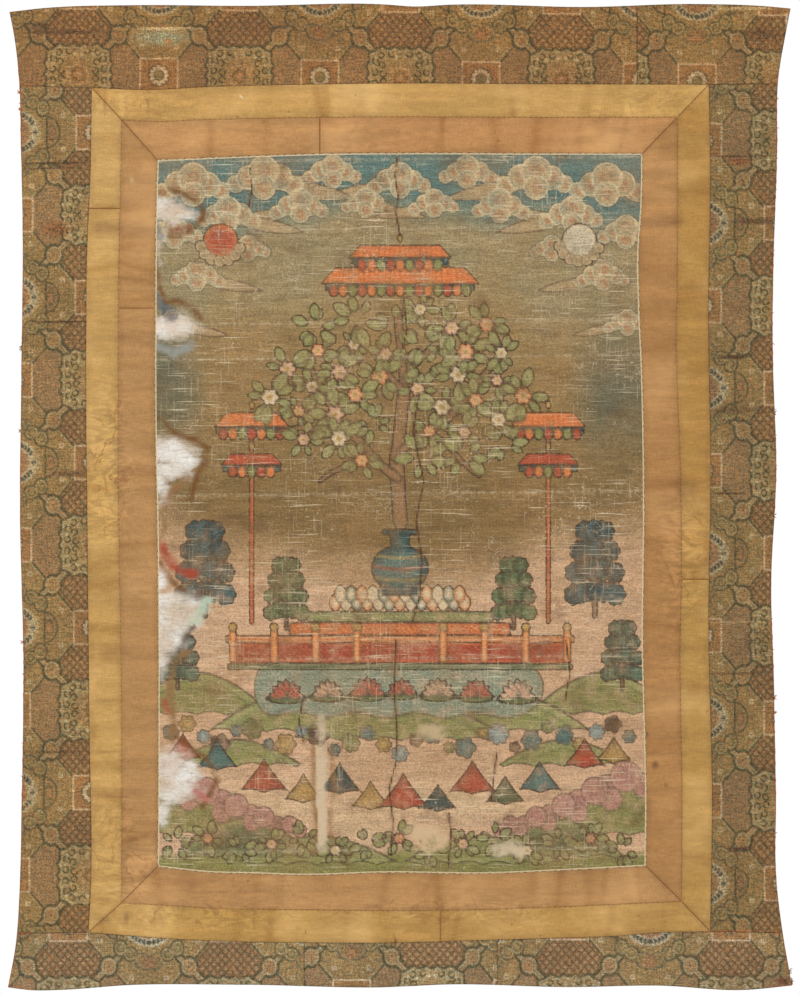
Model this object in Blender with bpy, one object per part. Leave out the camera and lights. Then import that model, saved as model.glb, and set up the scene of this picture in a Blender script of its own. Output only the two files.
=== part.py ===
"""Thangka scroll painting, hanging flat from its top edge.

A painted cotton panel in an orange and a yellow silk border, set in a brocade surround. Each cut of
cloth is a thin sheet of its own, and the sheets meet edge to edge at the sewn seams.

Metres, +Z up, the painted face towards -Y. The origin is the middle of the top edge.
"""

from collections import namedtuple

import bmesh
import bpy
import numpy as np
from mathutils import Vector
from mathutils.geometry import delaunay_2d_cdt

MM = 0.001

# Driving sizes
BROCADE_THICKNESS = 0.0020
SILK_THICKNESS = 0.0017
PANEL_THICKNESS = 0.0014
SEAM_GAP = 0.0003
SEAM_STEP = 0.020  # spacing of points along mitres and joins
COLUMN_SPACING = 0.040
ROW_SPACING = 0.040
EDGE_CLEARANCE = 0.010  # inner points keep this far from a sheet's edge

# The four lines that a maker measures out: corners in mm, and how far each side strays outward from
# the straight line between its corners. Columns of a stray table: part of the side's length, from its
# left or upper end; outward, mm.
Ring = namedtuple("Ring", "top_left top_right bottom_right bottom_left stray")

HEM = Ring(
    (-453.0, -7.5),
    (453.0, -3.5),
    (454.0, -1136.0),
    (-454.0, -1138.0),
    {
        "top": ((0.04, 4.0), (0.16, 7.2), (0.30, 5.8), (0.48, 6.8), (0.52, 4.2), (0.56, 6.0), (0.74, 2.8),
                (0.88, 5.7), (0.97, 2.6)),
        "left": ((0.02, -4.5), (0.07, -11.2), (0.15, -13.5), (0.25, -15.8), (0.40, -13.6), (0.53, -12.8),
                 (0.68, -17.2), (0.80, -15.0), (0.90, -13.0), (0.96, -8.0)),
        "right": ((0.02, -4.4), (0.07, -14.0), (0.15, -16.0), (0.33, -21.0), (0.48, -17.4), (0.60, -23.2),
                  (0.68, -20.0), (0.81, -17.8), (0.89, -17.6), (0.95, -10.2)),
        "bottom": ((0.03, 3.4), (0.07, 3.5), (0.16, -1.5), (0.30, -1.9), (0.48, 2.0), (0.56, -1.4),
                   (0.72, 2.4), (0.83, 0.3), (0.94, 5.2)),
    },
)
YELLOW_LINE = Ring(
    (-357.5, -95.5),
    (358.0, -92.0),
    (359.5, -1073.5),
    (-361.5, -1075.0),
    {
        "top": ((0.09, -2.9), (0.19, 0.3), (0.31, 2.1), (0.48, 3.6), (0.72, 2.1)),
        "left": ((0.10, 1.3), (0.20, 4.9), (0.31, 5.5), (0.55, 2.7), (0.78, -0.5), (0.95, -2.6)),
        "right": ((0.09, 1.6), (0.27, -0.5), (0.47, 1.4), (0.62, -1.1), (0.85, 2.8)),
        "bottom": ((0.06, 3.6), (0.12, 6.8), (0.22, 10.2), (0.34, 12.2), (0.49, 13.0), (0.60, 10.9),
                   (0.74, 8.2), (0.84, 5.9), (0.92, 1.4)),
    },
)
ORANGE_LINE = Ring(
    (-323.0, -132.5),
    (322.0, -129.5),
    (326.5, -1039.0),
    (-323.0, -1041.0),
    {
        "top": ((0.06, -2.4), (0.14, -0.5), (0.27, 1.0), (0.48, 2.3), (0.74, 0.9)),
        "left": ((0.07, 1.0), (0.18, 3.1), (0.36, 3.9), (0.48, 3.8), (0.61, 1.7), (0.80, 0.0)),
        "right": ((0.19, -0.7), (0.28, -2.2), (0.49, 2.1), (0.60, 1.7), (0.69, 0.0), (0.84, 1.5)),
        "bottom": ((0.07, 2.7), (0.15, 5.9), (0.36, 9.1), (0.48, 10.5), (0.58, 10.0), (0.76, 7.2),
                   (0.88, 3.7)),
    },
)
PANEL_LINE = Ring(
    (-281.5, -179.0),
    (281.5, -171.5),
    (285.0, -998.0),
    (-281.0, -998.5),
    {
        "top": ((0.15, 2.3), (0.33, 4.6), (0.50, 4.4), (0.77, 2.1)),
        "left": ((0.07, 1.5), (0.22, 2.8), (0.40, 2.3), (0.52, 0.3), (0.71, -0.6), (0.90, -0.3)),
        "right": ((0.07, -1.3), (0.14, -5.2), (0.21, -4.6), (0.30, -1.8), (0.48, 0.2), (0.68, -1.8),
                  (0.92, 1.2)),
        "bottom": ((0.04, 2.8), (0.10, 6.4), (0.20, 8.2), (0.30, 10.1), (0.46, 7.6), (0.68, 8.7),
                   (0.84, 4.8)),
    },
)

# Where the side strips of brocade start and stop, as parts of the hem's left and right sides
LEFT_STRIP = (0.0755, 0.9452)
RIGHT_STRIP = (0.0770, 0.9458)

# Joins inside one border, mm along X or Z
BROCADE_TOP_JOIN = 275.0
BROCADE_BOTTOM_JOINS = (-111.0, 113.0)
YELLOW_LEFT_JOIN = -235.5
YELLOW_RIGHT_JOIN = -665.5
YELLOW_BOTTOM_JOIN = 47.0
ORANGE_TOP_JOIN = -93.0
ORANGE_LEFT_JOIN = -351.0

# Creases left by rolling. They climb a little towards the right, so the height is the one at X 0.
Fold = namedtuple("Fold", "height forward half_width")
ROLL_FOLDS_MM = (
    Fold(-180.0, -3.0, 13.0),
    Fold(-256.0, 2.2, 11.0),
    Fold(-363.0, -2.4, 13.0),
    Fold(-412.0, 1.6, 11.0),
    Fold(-569.0, -2.6, 14.0),
    Fold(-676.0, 2.0, 16.0),
    Fold(-755.0, -2.2, 13.0),
    Fold(-803.0, 1.8, 11.0),
    Fold(-894.0, -2.0, 14.0),
    Fold(-1000.0, 1.8, 13.0),
)
FOLD_CLIMB = 0.0107
FOLD_ROWS = (-1.6, -0.75, 0.0, 0.75, 1.6)  # rows of points across a fold, in half-widths

# The crease down the middle
MIDDLE_X = -0.0023
MIDDLE_FORWARD = -0.0018
MIDDLE_HALF_WIDTH = 0.011

# Broad waves of the hanging cloth
TOP_HOLD = 0.12  # the waves die out this far below the held edge
BILLOW = 0.0028
BILLOW_SPAN = (0.62, 0.47)
SELVEDGE_RIPPLE = 0.0032
SELVEDGE_SPANS = (0.215, 0.185)  # left, right
SELVEDGE_REACH = 0.05
HEM_RIPPLE = 0.0024
HEM_SPAN = 0.26
HEM_REACH = 0.08
CORNER_CURL = 0.008
CORNER_FROM = (0.33, 0.95)  # out from the middle, down from the top
CORNER_REACH = (0.12, 0.18)
PHASE = 0.6  # of the billow, so that its waves don't start in the middle

HALF_WIDTH = 0.440  # to the selvedges
HEIGHT = 1.138  # to the lower hem

# Finish: base colour, roughness
FINISHES = {
    "brocade": ((0.27, 0.18, 0.09), 0.75),
    "yellow_silk": ((0.56, 0.36, 0.12), 0.55),
    "orange_silk": ((0.52, 0.25, 0.09), 0.55),
    "painted_cotton": ((0.27, 0.20, 0.13), 0.80),
}


def smooth_step(value):
    value = np.clip(value, 0.0, 1.0)
    return value * value * (3.0 - 2.0 * value)


def forward(x, z):
    """How far the cloth stands towards the viewer at a point."""
    along = z - FOLD_CLIMB * x
    rise = MIDDLE_FORWARD * np.exp(-(((x - MIDDLE_X) / MIDDLE_HALF_WIDTH) ** 2))
    for fold in ROLL_FOLDS_MM:
        across = (along - fold.height * MM) / (fold.half_width * MM)
        rise = rise + fold.forward * MM * np.exp(-(across**2))
    turn = 2.0 * np.pi
    rise = rise + BILLOW * np.sin(turn * x / BILLOW_SPAN[0] + PHASE) * np.sin(turn * z / BILLOW_SPAN[1])
    for side, span in zip((-1.0, 1.0), SELVEDGE_SPANS):
        near = np.exp(-np.maximum(HALF_WIDTH - side * x, 0.0) / SELVEDGE_REACH)
        rise = rise + SELVEDGE_RIPPLE * near * np.sin(turn * z / span + side)
    near_hem = np.exp(-np.maximum(HEIGHT + z, 0.0) / HEM_REACH)
    rise = rise + HEM_RIPPLE * near_hem * np.sin(turn * x / HEM_SPAN)
    rise = rise * smooth_step(-z / TOP_HOLD)
    out = smooth_step((np.abs(x) - CORNER_FROM[0]) / CORNER_REACH[0])
    down = smooth_step((-z - CORNER_FROM[1]) / CORNER_REACH[1])
    return rise + CORNER_CURL * out * down


def smooth_table(at, table):
    """Reads a table of (place, value) rows as one smooth curve that is 0 at both ends."""
    place, value = np.array(((0.0, 0.0), *table, (1.0, 0.0))).T
    slope = np.gradient(value, place)
    at = np.clip(at, 0.0, 1.0)
    row = np.clip(np.searchsorted(place, at, side="right") - 1, 0, len(place) - 2)
    width = place[row + 1] - place[row]
    part = (at - place[row]) / width
    ease = part * part * (3.0 - 2.0 * part)
    start_bend = part * (1.0 - part) ** 2 * slope[row] * width
    end_bend = part * part * (part - 1.0) * slope[row + 1] * width
    return value[row] * (1.0 - ease) + value[row + 1] * ease + start_bend + end_bend


def side_ends(ring, side):
    """Both ends of a side, in metres, and the direction that is outward there."""
    ends = {
        "top": (ring.top_left, ring.top_right, (0.0, 1.0)),
        "right": (ring.top_right, ring.bottom_right, (1.0, 0.0)),
        "bottom": (ring.bottom_left, ring.bottom_right, (0.0, -1.0)),
        "left": (ring.top_left, ring.bottom_left, (-1.0, 0.0)),
    }
    first, last, outward = ends[side]
    return np.array(first) * MM, np.array(last) * MM, np.array(outward)


def is_level(side):
    return side in ("top", "bottom")


def part_at(ring, side, place_mm):
    """The part of a side's length at which it passes an X, or a Z on an upright side."""
    first, last, _ = side_ends(ring, side)
    axis = 0 if is_level(side) else 1
    return (place_mm * MM - first[axis]) / (last[axis] - first[axis])


def side_points(ring, side, start=0.0, stop=1.0):
    """Points along a side from one part of its length to another, with one at each row or column."""
    first, last, outward = side_ends(ring, side)
    if is_level(side):
        marks = (COLUMNS - first[0]) / (last[0] - first[0])
    else:
        marks = (ROWS + FOLD_CLIMB * first[0] - first[1]) / (last[1] - first[1])
    close = 0.2 * COLUMN_SPACING / np.linalg.norm(last - first)
    marks = marks[(marks > start + close) & (marks < stop - close)]
    at = np.concatenate(([start], np.sort(marks), [stop]))[:, None]
    return first + (last - first) * at + outward * MM * smooth_table(at, ring.stray[side])


def line_between(first, last):
    """The points inside a straight seam, without its ends."""
    steps = max(2, round(float(np.linalg.norm(last - first)) / SEAM_STEP))
    return first + (last - first) * (np.arange(1, steps) / steps)[:, None]


def fold_rows():
    """Heights of the rows of points: five across each fold, and even rows between."""
    rows = [MM * (fold.height + fold.half_width * offset) for fold in ROLL_FOLDS_MM for offset in FOLD_ROWS]
    rows = sorted([*rows, 0.0, -HEIGHT], reverse=True)
    for upper, lower in zip(rows[:-1], rows[1:]):
        fill = int((upper - lower) / ROW_SPACING)
        rows.extend(upper + (lower - upper) * step / (fill + 1) for step in range(1, fill + 1))
    return np.array(sorted(rows, reverse=True))


def fold_columns():
    """X of the columns of points: five across the middle crease, and even columns on both sides."""
    middle = MIDDLE_X + MIDDLE_HALF_WIDTH * np.array(FOLD_ROWS)
    outer = np.arange(COLUMN_SPACING, HALF_WIDTH + COLUMN_SPACING, COLUMN_SPACING)
    return np.sort(np.concatenate((middle, MIDDLE_X + outer, MIDDLE_X - outer)))


ROWS = fold_rows()
COLUMNS = fold_columns()


def shrunk(outline, margin):
    """The outline moved inward. It runs clockwise as seen from the front, so inward is on its right."""
    before = outline - np.roll(outline, 1, axis=0)
    after = np.roll(outline, -1, axis=0) - outline
    inward = [np.column_stack((edge[:, 1], -edge[:, 0])) for edge in (before, after)]
    inward = [normal / np.linalg.norm(normal, axis=1)[:, None] for normal in inward]
    mitre = inward[0] + inward[1]
    reach = np.maximum((mitre * inward[0]).sum(axis=1), 0.2)
    return outline + margin * mitre / reach[:, None]


def inner_points(outline):
    """The crossings of rows and columns that lie inside the outline, clear of its edge."""
    across, down = np.meshgrid(COLUMNS, ROWS)
    points = np.column_stack((across.ravel(), (down + FOLD_CLIMB * across).ravel()))
    start, end = outline, np.roll(outline, -1, axis=0)
    edge = end - start
    offset = points[:, None, :] - start
    part = np.clip((offset * edge).sum(axis=2) / (edge * edge).sum(axis=1), 0.0, 1.0)
    distance = np.linalg.norm(offset - part[:, :, None] * edge, axis=2).min(axis=1)
    crosses = (start[:, 1] > points[:, 1:]) != (end[:, 1] > points[:, 1:])
    rise = np.where(edge[:, 1] == 0.0, 1.0, edge[:, 1])
    meets = start[:, 0] + edge[:, 0] * (points[:, 1:] - start[:, 1]) / rise
    inside = (crosses & (points[:, :1] < meets)).sum(axis=1) % 2 == 1
    return points[inside & (distance > EDGE_CLEARANCE)]


def finish(name):
    colour, roughness = FINISHES[name]
    material = bpy.data.materials.new(name)
    material.use_nodes = True
    shader = material.node_tree.nodes["Principled BSDF"]
    shader.inputs["Base Color"].default_value = (*colour, 1.0)
    shader.inputs["Roughness"].default_value = roughness
    shader.inputs["Metallic"].default_value = 0.0
    return material


def cloth(name, sides, thickness, material):
    """One cut of cloth as a closed sheet, from the runs of points that make its outline."""
    outline = shrunk(np.concatenate(sides), SEAM_GAP / 2.0)
    flat = np.concatenate((outline, inner_points(outline)))
    rim = list(range(len(outline)))[::-1]
    points, _, faces, *_ = delaunay_2d_cdt([Vector(point) for point in flat], [], [rim], 1, 1e-7)
    mesh = bmesh.new()
    verts = []
    for x, z in points:
        y = -float(forward(x, z)) - thickness / 2.0
        verts.append(mesh.verts.new((x, y, z)))
    front = [mesh.faces.new([verts[corner] for corner in face]) for face in faces]
    back = bmesh.ops.extrude_face_region(mesh, geom=front, use_keep_orig=True)["geom"]
    moved = [item for item in back if isinstance(item, bmesh.types.BMVert)]
    bmesh.ops.translate(mesh, verts=moved, vec=(0.0, thickness, 0.0))
    bmesh.ops.recalc_face_normals(mesh, faces=mesh.faces)
    data = bpy.data.meshes.new(name)
    mesh.to_mesh(data)
    mesh.free()
    data.shade_smooth()
    data.set_sharp_from_angle(angle=np.radians(40.0))
    data.materials.append(material)
    bpy.context.scene.collection.objects.link(bpy.data.objects.new(name, data))


def border_outline(outer, inner, side, start_mm=None, stop_mm=None):
    """A mitred border strip, or the stretch of it between two joins."""
    edges = []
    for ring in (outer, inner):
        start = 0.0 if start_mm is None else part_at(ring, side, start_mm)
        stop = 1.0 if stop_mm is None else part_at(ring, side, stop_mm)
        edges.append(side_points(ring, side, start, stop))
    there, back = edges[0], edges[1][::-1]
    runs = [there, line_between(there[-1], back[0]), back, line_between(back[-1], there[0])]
    if side in ("top", "right"):
        return runs
    return [run[::-1] for run in runs[::-1]]


def brocade_side_outline(side, strip):
    """A side strip of brocade: its ends are butted under the top and bottom strips."""
    there = side_points(HEM, side, *strip)
    back = side_points(YELLOW_LINE, side)[::-1]
    runs = [there, line_between(there[-1], back[0]), back, line_between(back[-1], there[0])]
    if side == "right":
        return runs
    return [run[::-1] for run in runs[::-1]]


def brocade_end_outline(side, start_mm=None, stop_mm=None):
    """The stretch of the top or bottom strip between two joins. With no join it ends at the hem's corner."""
    edges = []
    for ring in (HEM, YELLOW_LINE):
        start = 0.0 if start_mm is None else part_at(ring, side, start_mm)
        stop = 1.0 if stop_mm is None else part_at(ring, side, stop_mm)
        edges.append(side_points(ring, side, start, stop))
    there, back = edges[0], edges[1][::-1]
    if side == "top":
        seam_to_left_corner = side_points(HEM, "left", 0.0, LEFT_STRIP[0])[::-1]
        right_corner_to_seam = side_points(HEM, "right", 0.0, RIGHT_STRIP[0])
    else:
        seam_to_left_corner = side_points(HEM, "left", LEFT_STRIP[1], 1.0)
        right_corner_to_seam = side_points(HEM, "right", RIGHT_STRIP[1], 1.0)[::-1]
    runs = [there]
    if stop_mm is None:
        runs.append(right_corner_to_seam[1:])
    runs.append(line_between(runs[-1][-1], back[0]))
    runs.append(back)
    if start_mm is None:
        runs.append(line_between(back[-1], seam_to_left_corner[0]))
        runs.append(seam_to_left_corner[:-1])
    else:
        runs.append(line_between(back[-1], there[0]))
    if side == "top":
        return runs
    return [run[::-1] for run in runs[::-1]]


def panel_outline():
    top = side_points(PANEL_LINE, "top")
    right = side_points(PANEL_LINE, "right")
    bottom = side_points(PANEL_LINE, "bottom")[::-1]
    left = side_points(PANEL_LINE, "left")[::-1]
    return [top[:-1], right[:-1], bottom[:-1], left[:-1]]


def build_brocade(material):
    strips = {
        "brocade_top_left": brocade_end_outline("top", stop_mm=BROCADE_TOP_JOIN),
        "brocade_top_right": brocade_end_outline("top", start_mm=BROCADE_TOP_JOIN),
        "brocade_left": brocade_side_outline("left", LEFT_STRIP),
        "brocade_right": brocade_side_outline("right", RIGHT_STRIP),
        "brocade_bottom_left": brocade_end_outline("bottom", stop_mm=BROCADE_BOTTOM_JOINS[0]),
        "brocade_bottom_middle": brocade_end_outline("bottom", *BROCADE_BOTTOM_JOINS),
        "brocade_bottom_right": brocade_end_outline("bottom", start_mm=BROCADE_BOTTOM_JOINS[1]),
    }
    for name, outline in strips.items():
        cloth(name, outline, BROCADE_THICKNESS, material)


def build_yellow_border(material):
    border = (YELLOW_LINE, ORANGE_LINE)
    strips = {
        "silk_yellow_top": border_outline(*border, "top"),
        "silk_yellow_left_upper": border_outline(*border, "left", stop_mm=YELLOW_LEFT_JOIN),
        "silk_yellow_left_lower": border_outline(*border, "left", start_mm=YELLOW_LEFT_JOIN),
        "silk_yellow_right_upper": border_outline(*border, "right", stop_mm=YELLOW_RIGHT_JOIN),
        "silk_yellow_right_lower": border_outline(*border, "right", start_mm=YELLOW_RIGHT_JOIN),
        "silk_yellow_bottom_left": border_outline(*border, "bottom", stop_mm=YELLOW_BOTTOM_JOIN),
        "silk_yellow_bottom_right": border_outline(*border, "bottom", start_mm=YELLOW_BOTTOM_JOIN),
    }
    for name, outline in strips.items():
        cloth(name, outline, SILK_THICKNESS, material)


def build_orange_border(material):
    border = (ORANGE_LINE, PANEL_LINE)
    strips = {
        "silk_orange_top_left": border_outline(*border, "top", stop_mm=ORANGE_TOP_JOIN),
        "silk_orange_top_right": border_outline(*border, "top", start_mm=ORANGE_TOP_JOIN),
        "silk_orange_left_upper": border_outline(*border, "left", stop_mm=ORANGE_LEFT_JOIN),
        "silk_orange_left_lower": border_outline(*border, "left", start_mm=ORANGE_LEFT_JOIN),
        "silk_orange_right": border_outline(*border, "right"),
        "silk_orange_bottom": border_outline(*border, "bottom"),
    }
    for name, outline in strips.items():
        cloth(name, outline, SILK_THICKNESS, material)


def main():
    for item in list(bpy.data.objects):
        bpy.data.objects.remove(item)
    build_brocade(finish("brocade"))
    build_yellow_border(finish("yellow_silk"))
    build_orange_border(finish("orange_silk"))
    cloth("painted_panel", panel_outline(), PANEL_THICKNESS, finish("painted_cotton"))


main()
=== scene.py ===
"""Looks of the thangka scroll painting: woven brocade, silk borders, a worn painted panel, threads and light.

Metres in the frame, +Z up, the painted face towards -Y. Lengths named MM, and the drawings, are in mm.
"""
from collections import namedtuple

import bpy
import numpy as np
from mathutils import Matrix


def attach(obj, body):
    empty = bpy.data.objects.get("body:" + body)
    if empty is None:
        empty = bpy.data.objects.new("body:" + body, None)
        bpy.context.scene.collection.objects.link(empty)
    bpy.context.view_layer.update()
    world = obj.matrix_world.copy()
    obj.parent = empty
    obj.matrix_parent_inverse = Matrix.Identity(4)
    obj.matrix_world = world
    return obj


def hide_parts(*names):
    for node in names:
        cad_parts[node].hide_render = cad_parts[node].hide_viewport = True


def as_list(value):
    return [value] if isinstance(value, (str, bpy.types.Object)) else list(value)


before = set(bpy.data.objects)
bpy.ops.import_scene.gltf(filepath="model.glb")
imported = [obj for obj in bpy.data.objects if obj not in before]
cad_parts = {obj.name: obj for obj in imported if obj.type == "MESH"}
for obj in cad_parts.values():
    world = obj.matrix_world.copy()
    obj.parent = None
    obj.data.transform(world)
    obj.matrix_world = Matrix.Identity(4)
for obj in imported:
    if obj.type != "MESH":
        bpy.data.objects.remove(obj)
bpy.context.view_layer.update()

MM = 0.001
TURN = 2 * np.pi
FAR = 50.0  # mm, past every drawn line
FRAME_WIDE, FRAME_HIGH = 800, 995  # the picture's frame, in pixels
FRAME_TOP_PIXELS = 5.5  # the frame's upper edge lies this far above the origin
PIXEL_MM = 1.16  # what one of them covers at the cloth


def rows(kind, *table):
    """A table whose rows have the columns that the kind names."""
    return [kind(*row) for row in table]


# Shared with the solids: the four lines that a maker measures out. Corners in mm, and how far each side
# strays outward from the straight line between its corners. Columns of a stray table: part of the side's
# length, from its left or upper end; outward, mm.
Ring = namedtuple("Ring", "top_left top_right bottom_right bottom_left stray")
HEM = Ring((-453, -7.5), (453, -3.5), (454, -1136), (-454, -1138), {
    "top": ((0.04, 4), (0.16, 7.2), (0.30, 5.8), (0.48, 6.8), (0.52, 4.2), (0.56, 6), (0.74, 2.8),
            (0.88, 5.7), (0.97, 2.6)),
    "left": ((0.02, -4.5), (0.07, -11.2), (0.15, -13.5), (0.25, -15.8), (0.40, -13.6), (0.53, -12.8),
             (0.68, -17.2), (0.80, -15), (0.90, -13), (0.96, -8)),
    "right": ((0.02, -4.4), (0.07, -14), (0.15, -16), (0.33, -21), (0.48, -17.4), (0.60, -23.2),
              (0.68, -20), (0.81, -17.8), (0.89, -17.6), (0.95, -10.2)),
    "bottom": ((0.03, 3.4), (0.07, 3.5), (0.16, -1.5), (0.30, -1.9), (0.48, 2), (0.56, -1.4), (0.72, 2.4),
               (0.83, 0.3), (0.94, 5.2)),
})
YELLOW_LINE = Ring((-357.5, -95.5), (358, -92), (359.5, -1073.5), (-361.5, -1075), {
    "top": ((0.09, -2.9), (0.19, 0.3), (0.31, 2.1), (0.48, 3.6), (0.72, 2.1)),
    "left": ((0.10, 1.3), (0.20, 4.9), (0.31, 5.5), (0.55, 2.7), (0.78, -0.5), (0.95, -2.6)),
    "right": ((0.09, 1.6), (0.27, -0.5), (0.47, 1.4), (0.62, -1.1), (0.85, 2.8)),
    "bottom": ((0.06, 3.6), (0.12, 6.8), (0.22, 10.2), (0.34, 12.2), (0.49, 13), (0.60, 10.9),
               (0.74, 8.2), (0.84, 5.9), (0.92, 1.4)),
})
ORANGE_LINE = Ring((-323, -132.5), (322, -129.5), (326.5, -1039), (-323, -1041), {
    "top": ((0.06, -2.4), (0.14, -0.5), (0.27, 1), (0.48, 2.3), (0.74, 0.9)),
    "left": ((0.07, 1), (0.18, 3.1), (0.36, 3.9), (0.48, 3.8), (0.61, 1.7), (0.80, 0)),
    "right": ((0.19, -0.7), (0.28, -2.2), (0.49, 2.1), (0.60, 1.7), (0.69, 0), (0.84, 1.5)),
    "bottom": ((0.07, 2.7), (0.15, 5.9), (0.36, 9.1), (0.48, 10.5), (0.58, 10), (0.76, 7.2), (0.88, 3.7)),
})
PANEL_LINE = Ring((-281.5, -179), (281.5, -171.5), (285, -998), (-281, -998.5), {
    "top": ((0.15, 2.3), (0.33, 4.6), (0.50, 4.4), (0.77, 2.1)),
    "left": ((0.07, 1.5), (0.22, 2.8), (0.40, 2.3), (0.52, 0.3), (0.71, -0.6), (0.90, -0.3)),
    "right": ((0.07, -1.3), (0.14, -5.2), (0.21, -4.6), (0.30, -1.8), (0.48, 0.2), (0.68, -1.8), (0.92, 1.2)),
    "bottom": ((0.04, 2.8), (0.10, 6.4), (0.20, 8.2), (0.30, 10.1), (0.46, 7.6), (0.68, 8.7), (0.84, 4.8)),
})
PANEL_MIDDLE_MM = -585

# Where the side strips of brocade start and stop, as parts of the hem's left and right sides
LEFT_STRIP, RIGHT_STRIP = (0.0755, 0.9452), (0.0770, 0.9458)

# Joins inside one border, mm along X or Z
BROCADE_TOP_JOIN = 275
BROCADE_BOTTOM_JOINS = (-111, 113)
YELLOW_LEFT_JOIN, YELLOW_RIGHT_JOIN, YELLOW_BOTTOM_JOIN = -235.5, -665.5, 47
ORANGE_TOP_JOIN, ORANGE_LEFT_JOIN = -93, -351

# Soft creases left by rolling. They climb a little towards the right, so the height is the one at X 0.
Fold = namedtuple("Fold", "height forward half_width")
ROLL_FOLDS_MM = rows(
    Fold, (-180, -3, 13), (-256, 2.2, 11), (-363, -2.4, 13), (-412, 1.6, 11), (-569, -2.6, 14),
    (-676, 2, 16), (-755, -2.2, 13), (-803, 1.8, 11), (-894, -2, 14), (-1000, 1.8, 13),
)
FOLD_CLIMB = 0.0107

# The crease down the middle
MIDDLE_X = -0.0023
MIDDLE_FORWARD = -0.0018
MIDDLE_HALF_WIDTH = 0.011

# Broad waves of the hanging cloth
TOP_HOLD = 0.12  # the waves die out this far below the held edge
BILLOW = 0.0028
BILLOW_SPAN = (0.62, 0.47)
SELVEDGE_RIPPLE = 0.0032
SELVEDGE_SPANS = (0.215, 0.185)  # left, right
SELVEDGE_REACH = 0.05
HEM_RIPPLE = 0.0024
HEM_SPAN = 0.26
HEM_REACH = 0.08
CORNER_CURL = 0.008
CORNER_FROM = (0.33, 0.95)  # out from the middle, down from the top
CORNER_REACH = (0.12, 0.18)
PHASE = 0.6  # of the billow, so that its waves don't start in the middle
HALF_WIDTH = 0.440  # to the selvedges
HEIGHT = 1.138  # to the lower hem

# In the scene alone: sharp creases that the roll has pressed in
Crease = namedtuple("Crease", "height forward half_width left right")
PRESSED_MM = rows(
    Crease, (-178, -0.7, 2.2, -440, 440), (-183.5, 0.5, 2.4, -440, -300), (-259, -0.7, 2.4, -280, 440),
    (-262, 0.6, 3, -440, -250), (-367, -0.8, 2.2, -440, 200), (-408, -0.7, 2.4, -100, 440),
    (-470, -0.4, 2.6, 120, 440), (-543, -0.6, 2.8, -440, -330), (-566, -0.7, 2.2, -380, 440),
    (-715, 0.5, 2.6, 60, 440), (-757, -0.7, 2.4, -300, 300), (-866, -0.5, 2.4, -440, -330),
    (-803, -0.6, 2.2, -440, 440), (-979, -0.7, 2.4, 60, 440),
)
CREASE_FADE = 0.04  # over which a crease runs out at its ends
CREASE_TOP_HOLD = 0.03
RUBBED_CREASE = -0.65  # creases pressed deeper than this have lost paint
RUBBED_HALF_MM = 1.6

# How a sheet is made: its thickness, the cells of its front, extra rows of points this far inside its
# edges, front cells to one back cell down and across, and its small slack waves: their height, how far
# inside the edge they reach it, and their form
Weave = namedtuple("Weave", "thickness cell marks back_steps ripple reach wave")
BROCADE = Weave(
    0.0020, 0.00112, (), (2, 16), 0.00035, 0.012,
    lambda x, z: np.sin(TURN * x / 0.083 + 2 * np.sin(TURN * z / 0.21)) * np.sin(TURN * z / 0.064 + 1.3),
)
SILK = Weave(
    0.0017, 0.0025, (0.0005, 0.0011, 0.0018), (1, 4), 0.00022, 0.008,
    lambda x, z: (np.sin(TURN * (x + 0.4 * z) / 0.047 + np.sin(TURN * z / 0.13))
                  * np.sin(TURN * z / 0.11 + x * 30)),
)
COTTON = Weave(
    0.0014, 0.00221, (), (2, 16), 0.00020, 0.02,
    lambda x, z: np.sin(TURN * z / 0.038 + 2 * np.sin(TURN * x / 0.3)) * np.sin(TURN * x / 0.27 + z * 9),
)
FEWEST_CELLS = 8
MARKS_CLEAR = 1.4  # even cells start this far past the innermost extra row, as a share of its place
SEAM_CLEARANCE = 0.000005
SHARP_EDGE = 55  # degrees
EDGE_DROP, EDGE_ROUND = 0.00042, 0.0011  # how each sheet's edge turns back into its seam


def smooth_step(value):
    value = np.clip(value, 0, 1)
    return value * value * (3 - 2 * value)


def centred(value, pitch):
    """The distance from the nearest of evenly spaced places."""
    return (value + pitch / 2) % pitch - pitch / 2


def forward(x, z):
    """How far the cloth stands towards the viewer at a point."""
    along = z - FOLD_CLIMB * x
    rise = MIDDLE_FORWARD * np.exp(-(((x - MIDDLE_X) / MIDDLE_HALF_WIDTH) ** 2))
    for fold in ROLL_FOLDS_MM:
        across = (along - fold.height * MM) / (fold.half_width * MM)
        rise = rise + fold.forward * MM * np.exp(-(across**2))
    rise = rise + BILLOW * np.sin(TURN * x / BILLOW_SPAN[0] + PHASE) * np.sin(TURN * z / BILLOW_SPAN[1])
    for side, span in zip((-1, 1), SELVEDGE_SPANS):
        near = np.exp(-np.maximum(HALF_WIDTH - side * x, 0) / SELVEDGE_REACH)
        rise = rise + SELVEDGE_RIPPLE * near * np.sin(TURN * z / span + side)
    near_hem = np.exp(-np.maximum(HEIGHT + z, 0) / HEM_REACH)
    rise = rise + HEM_RIPPLE * near_hem * np.sin(TURN * x / HEM_SPAN)
    rise = rise * smooth_step(-z / TOP_HOLD)
    out = smooth_step((np.abs(x) - CORNER_FROM[0]) / CORNER_REACH[0])
    down = smooth_step((-z - CORNER_FROM[1]) / CORNER_REACH[1])
    return rise + CORNER_CURL * out * down


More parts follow.
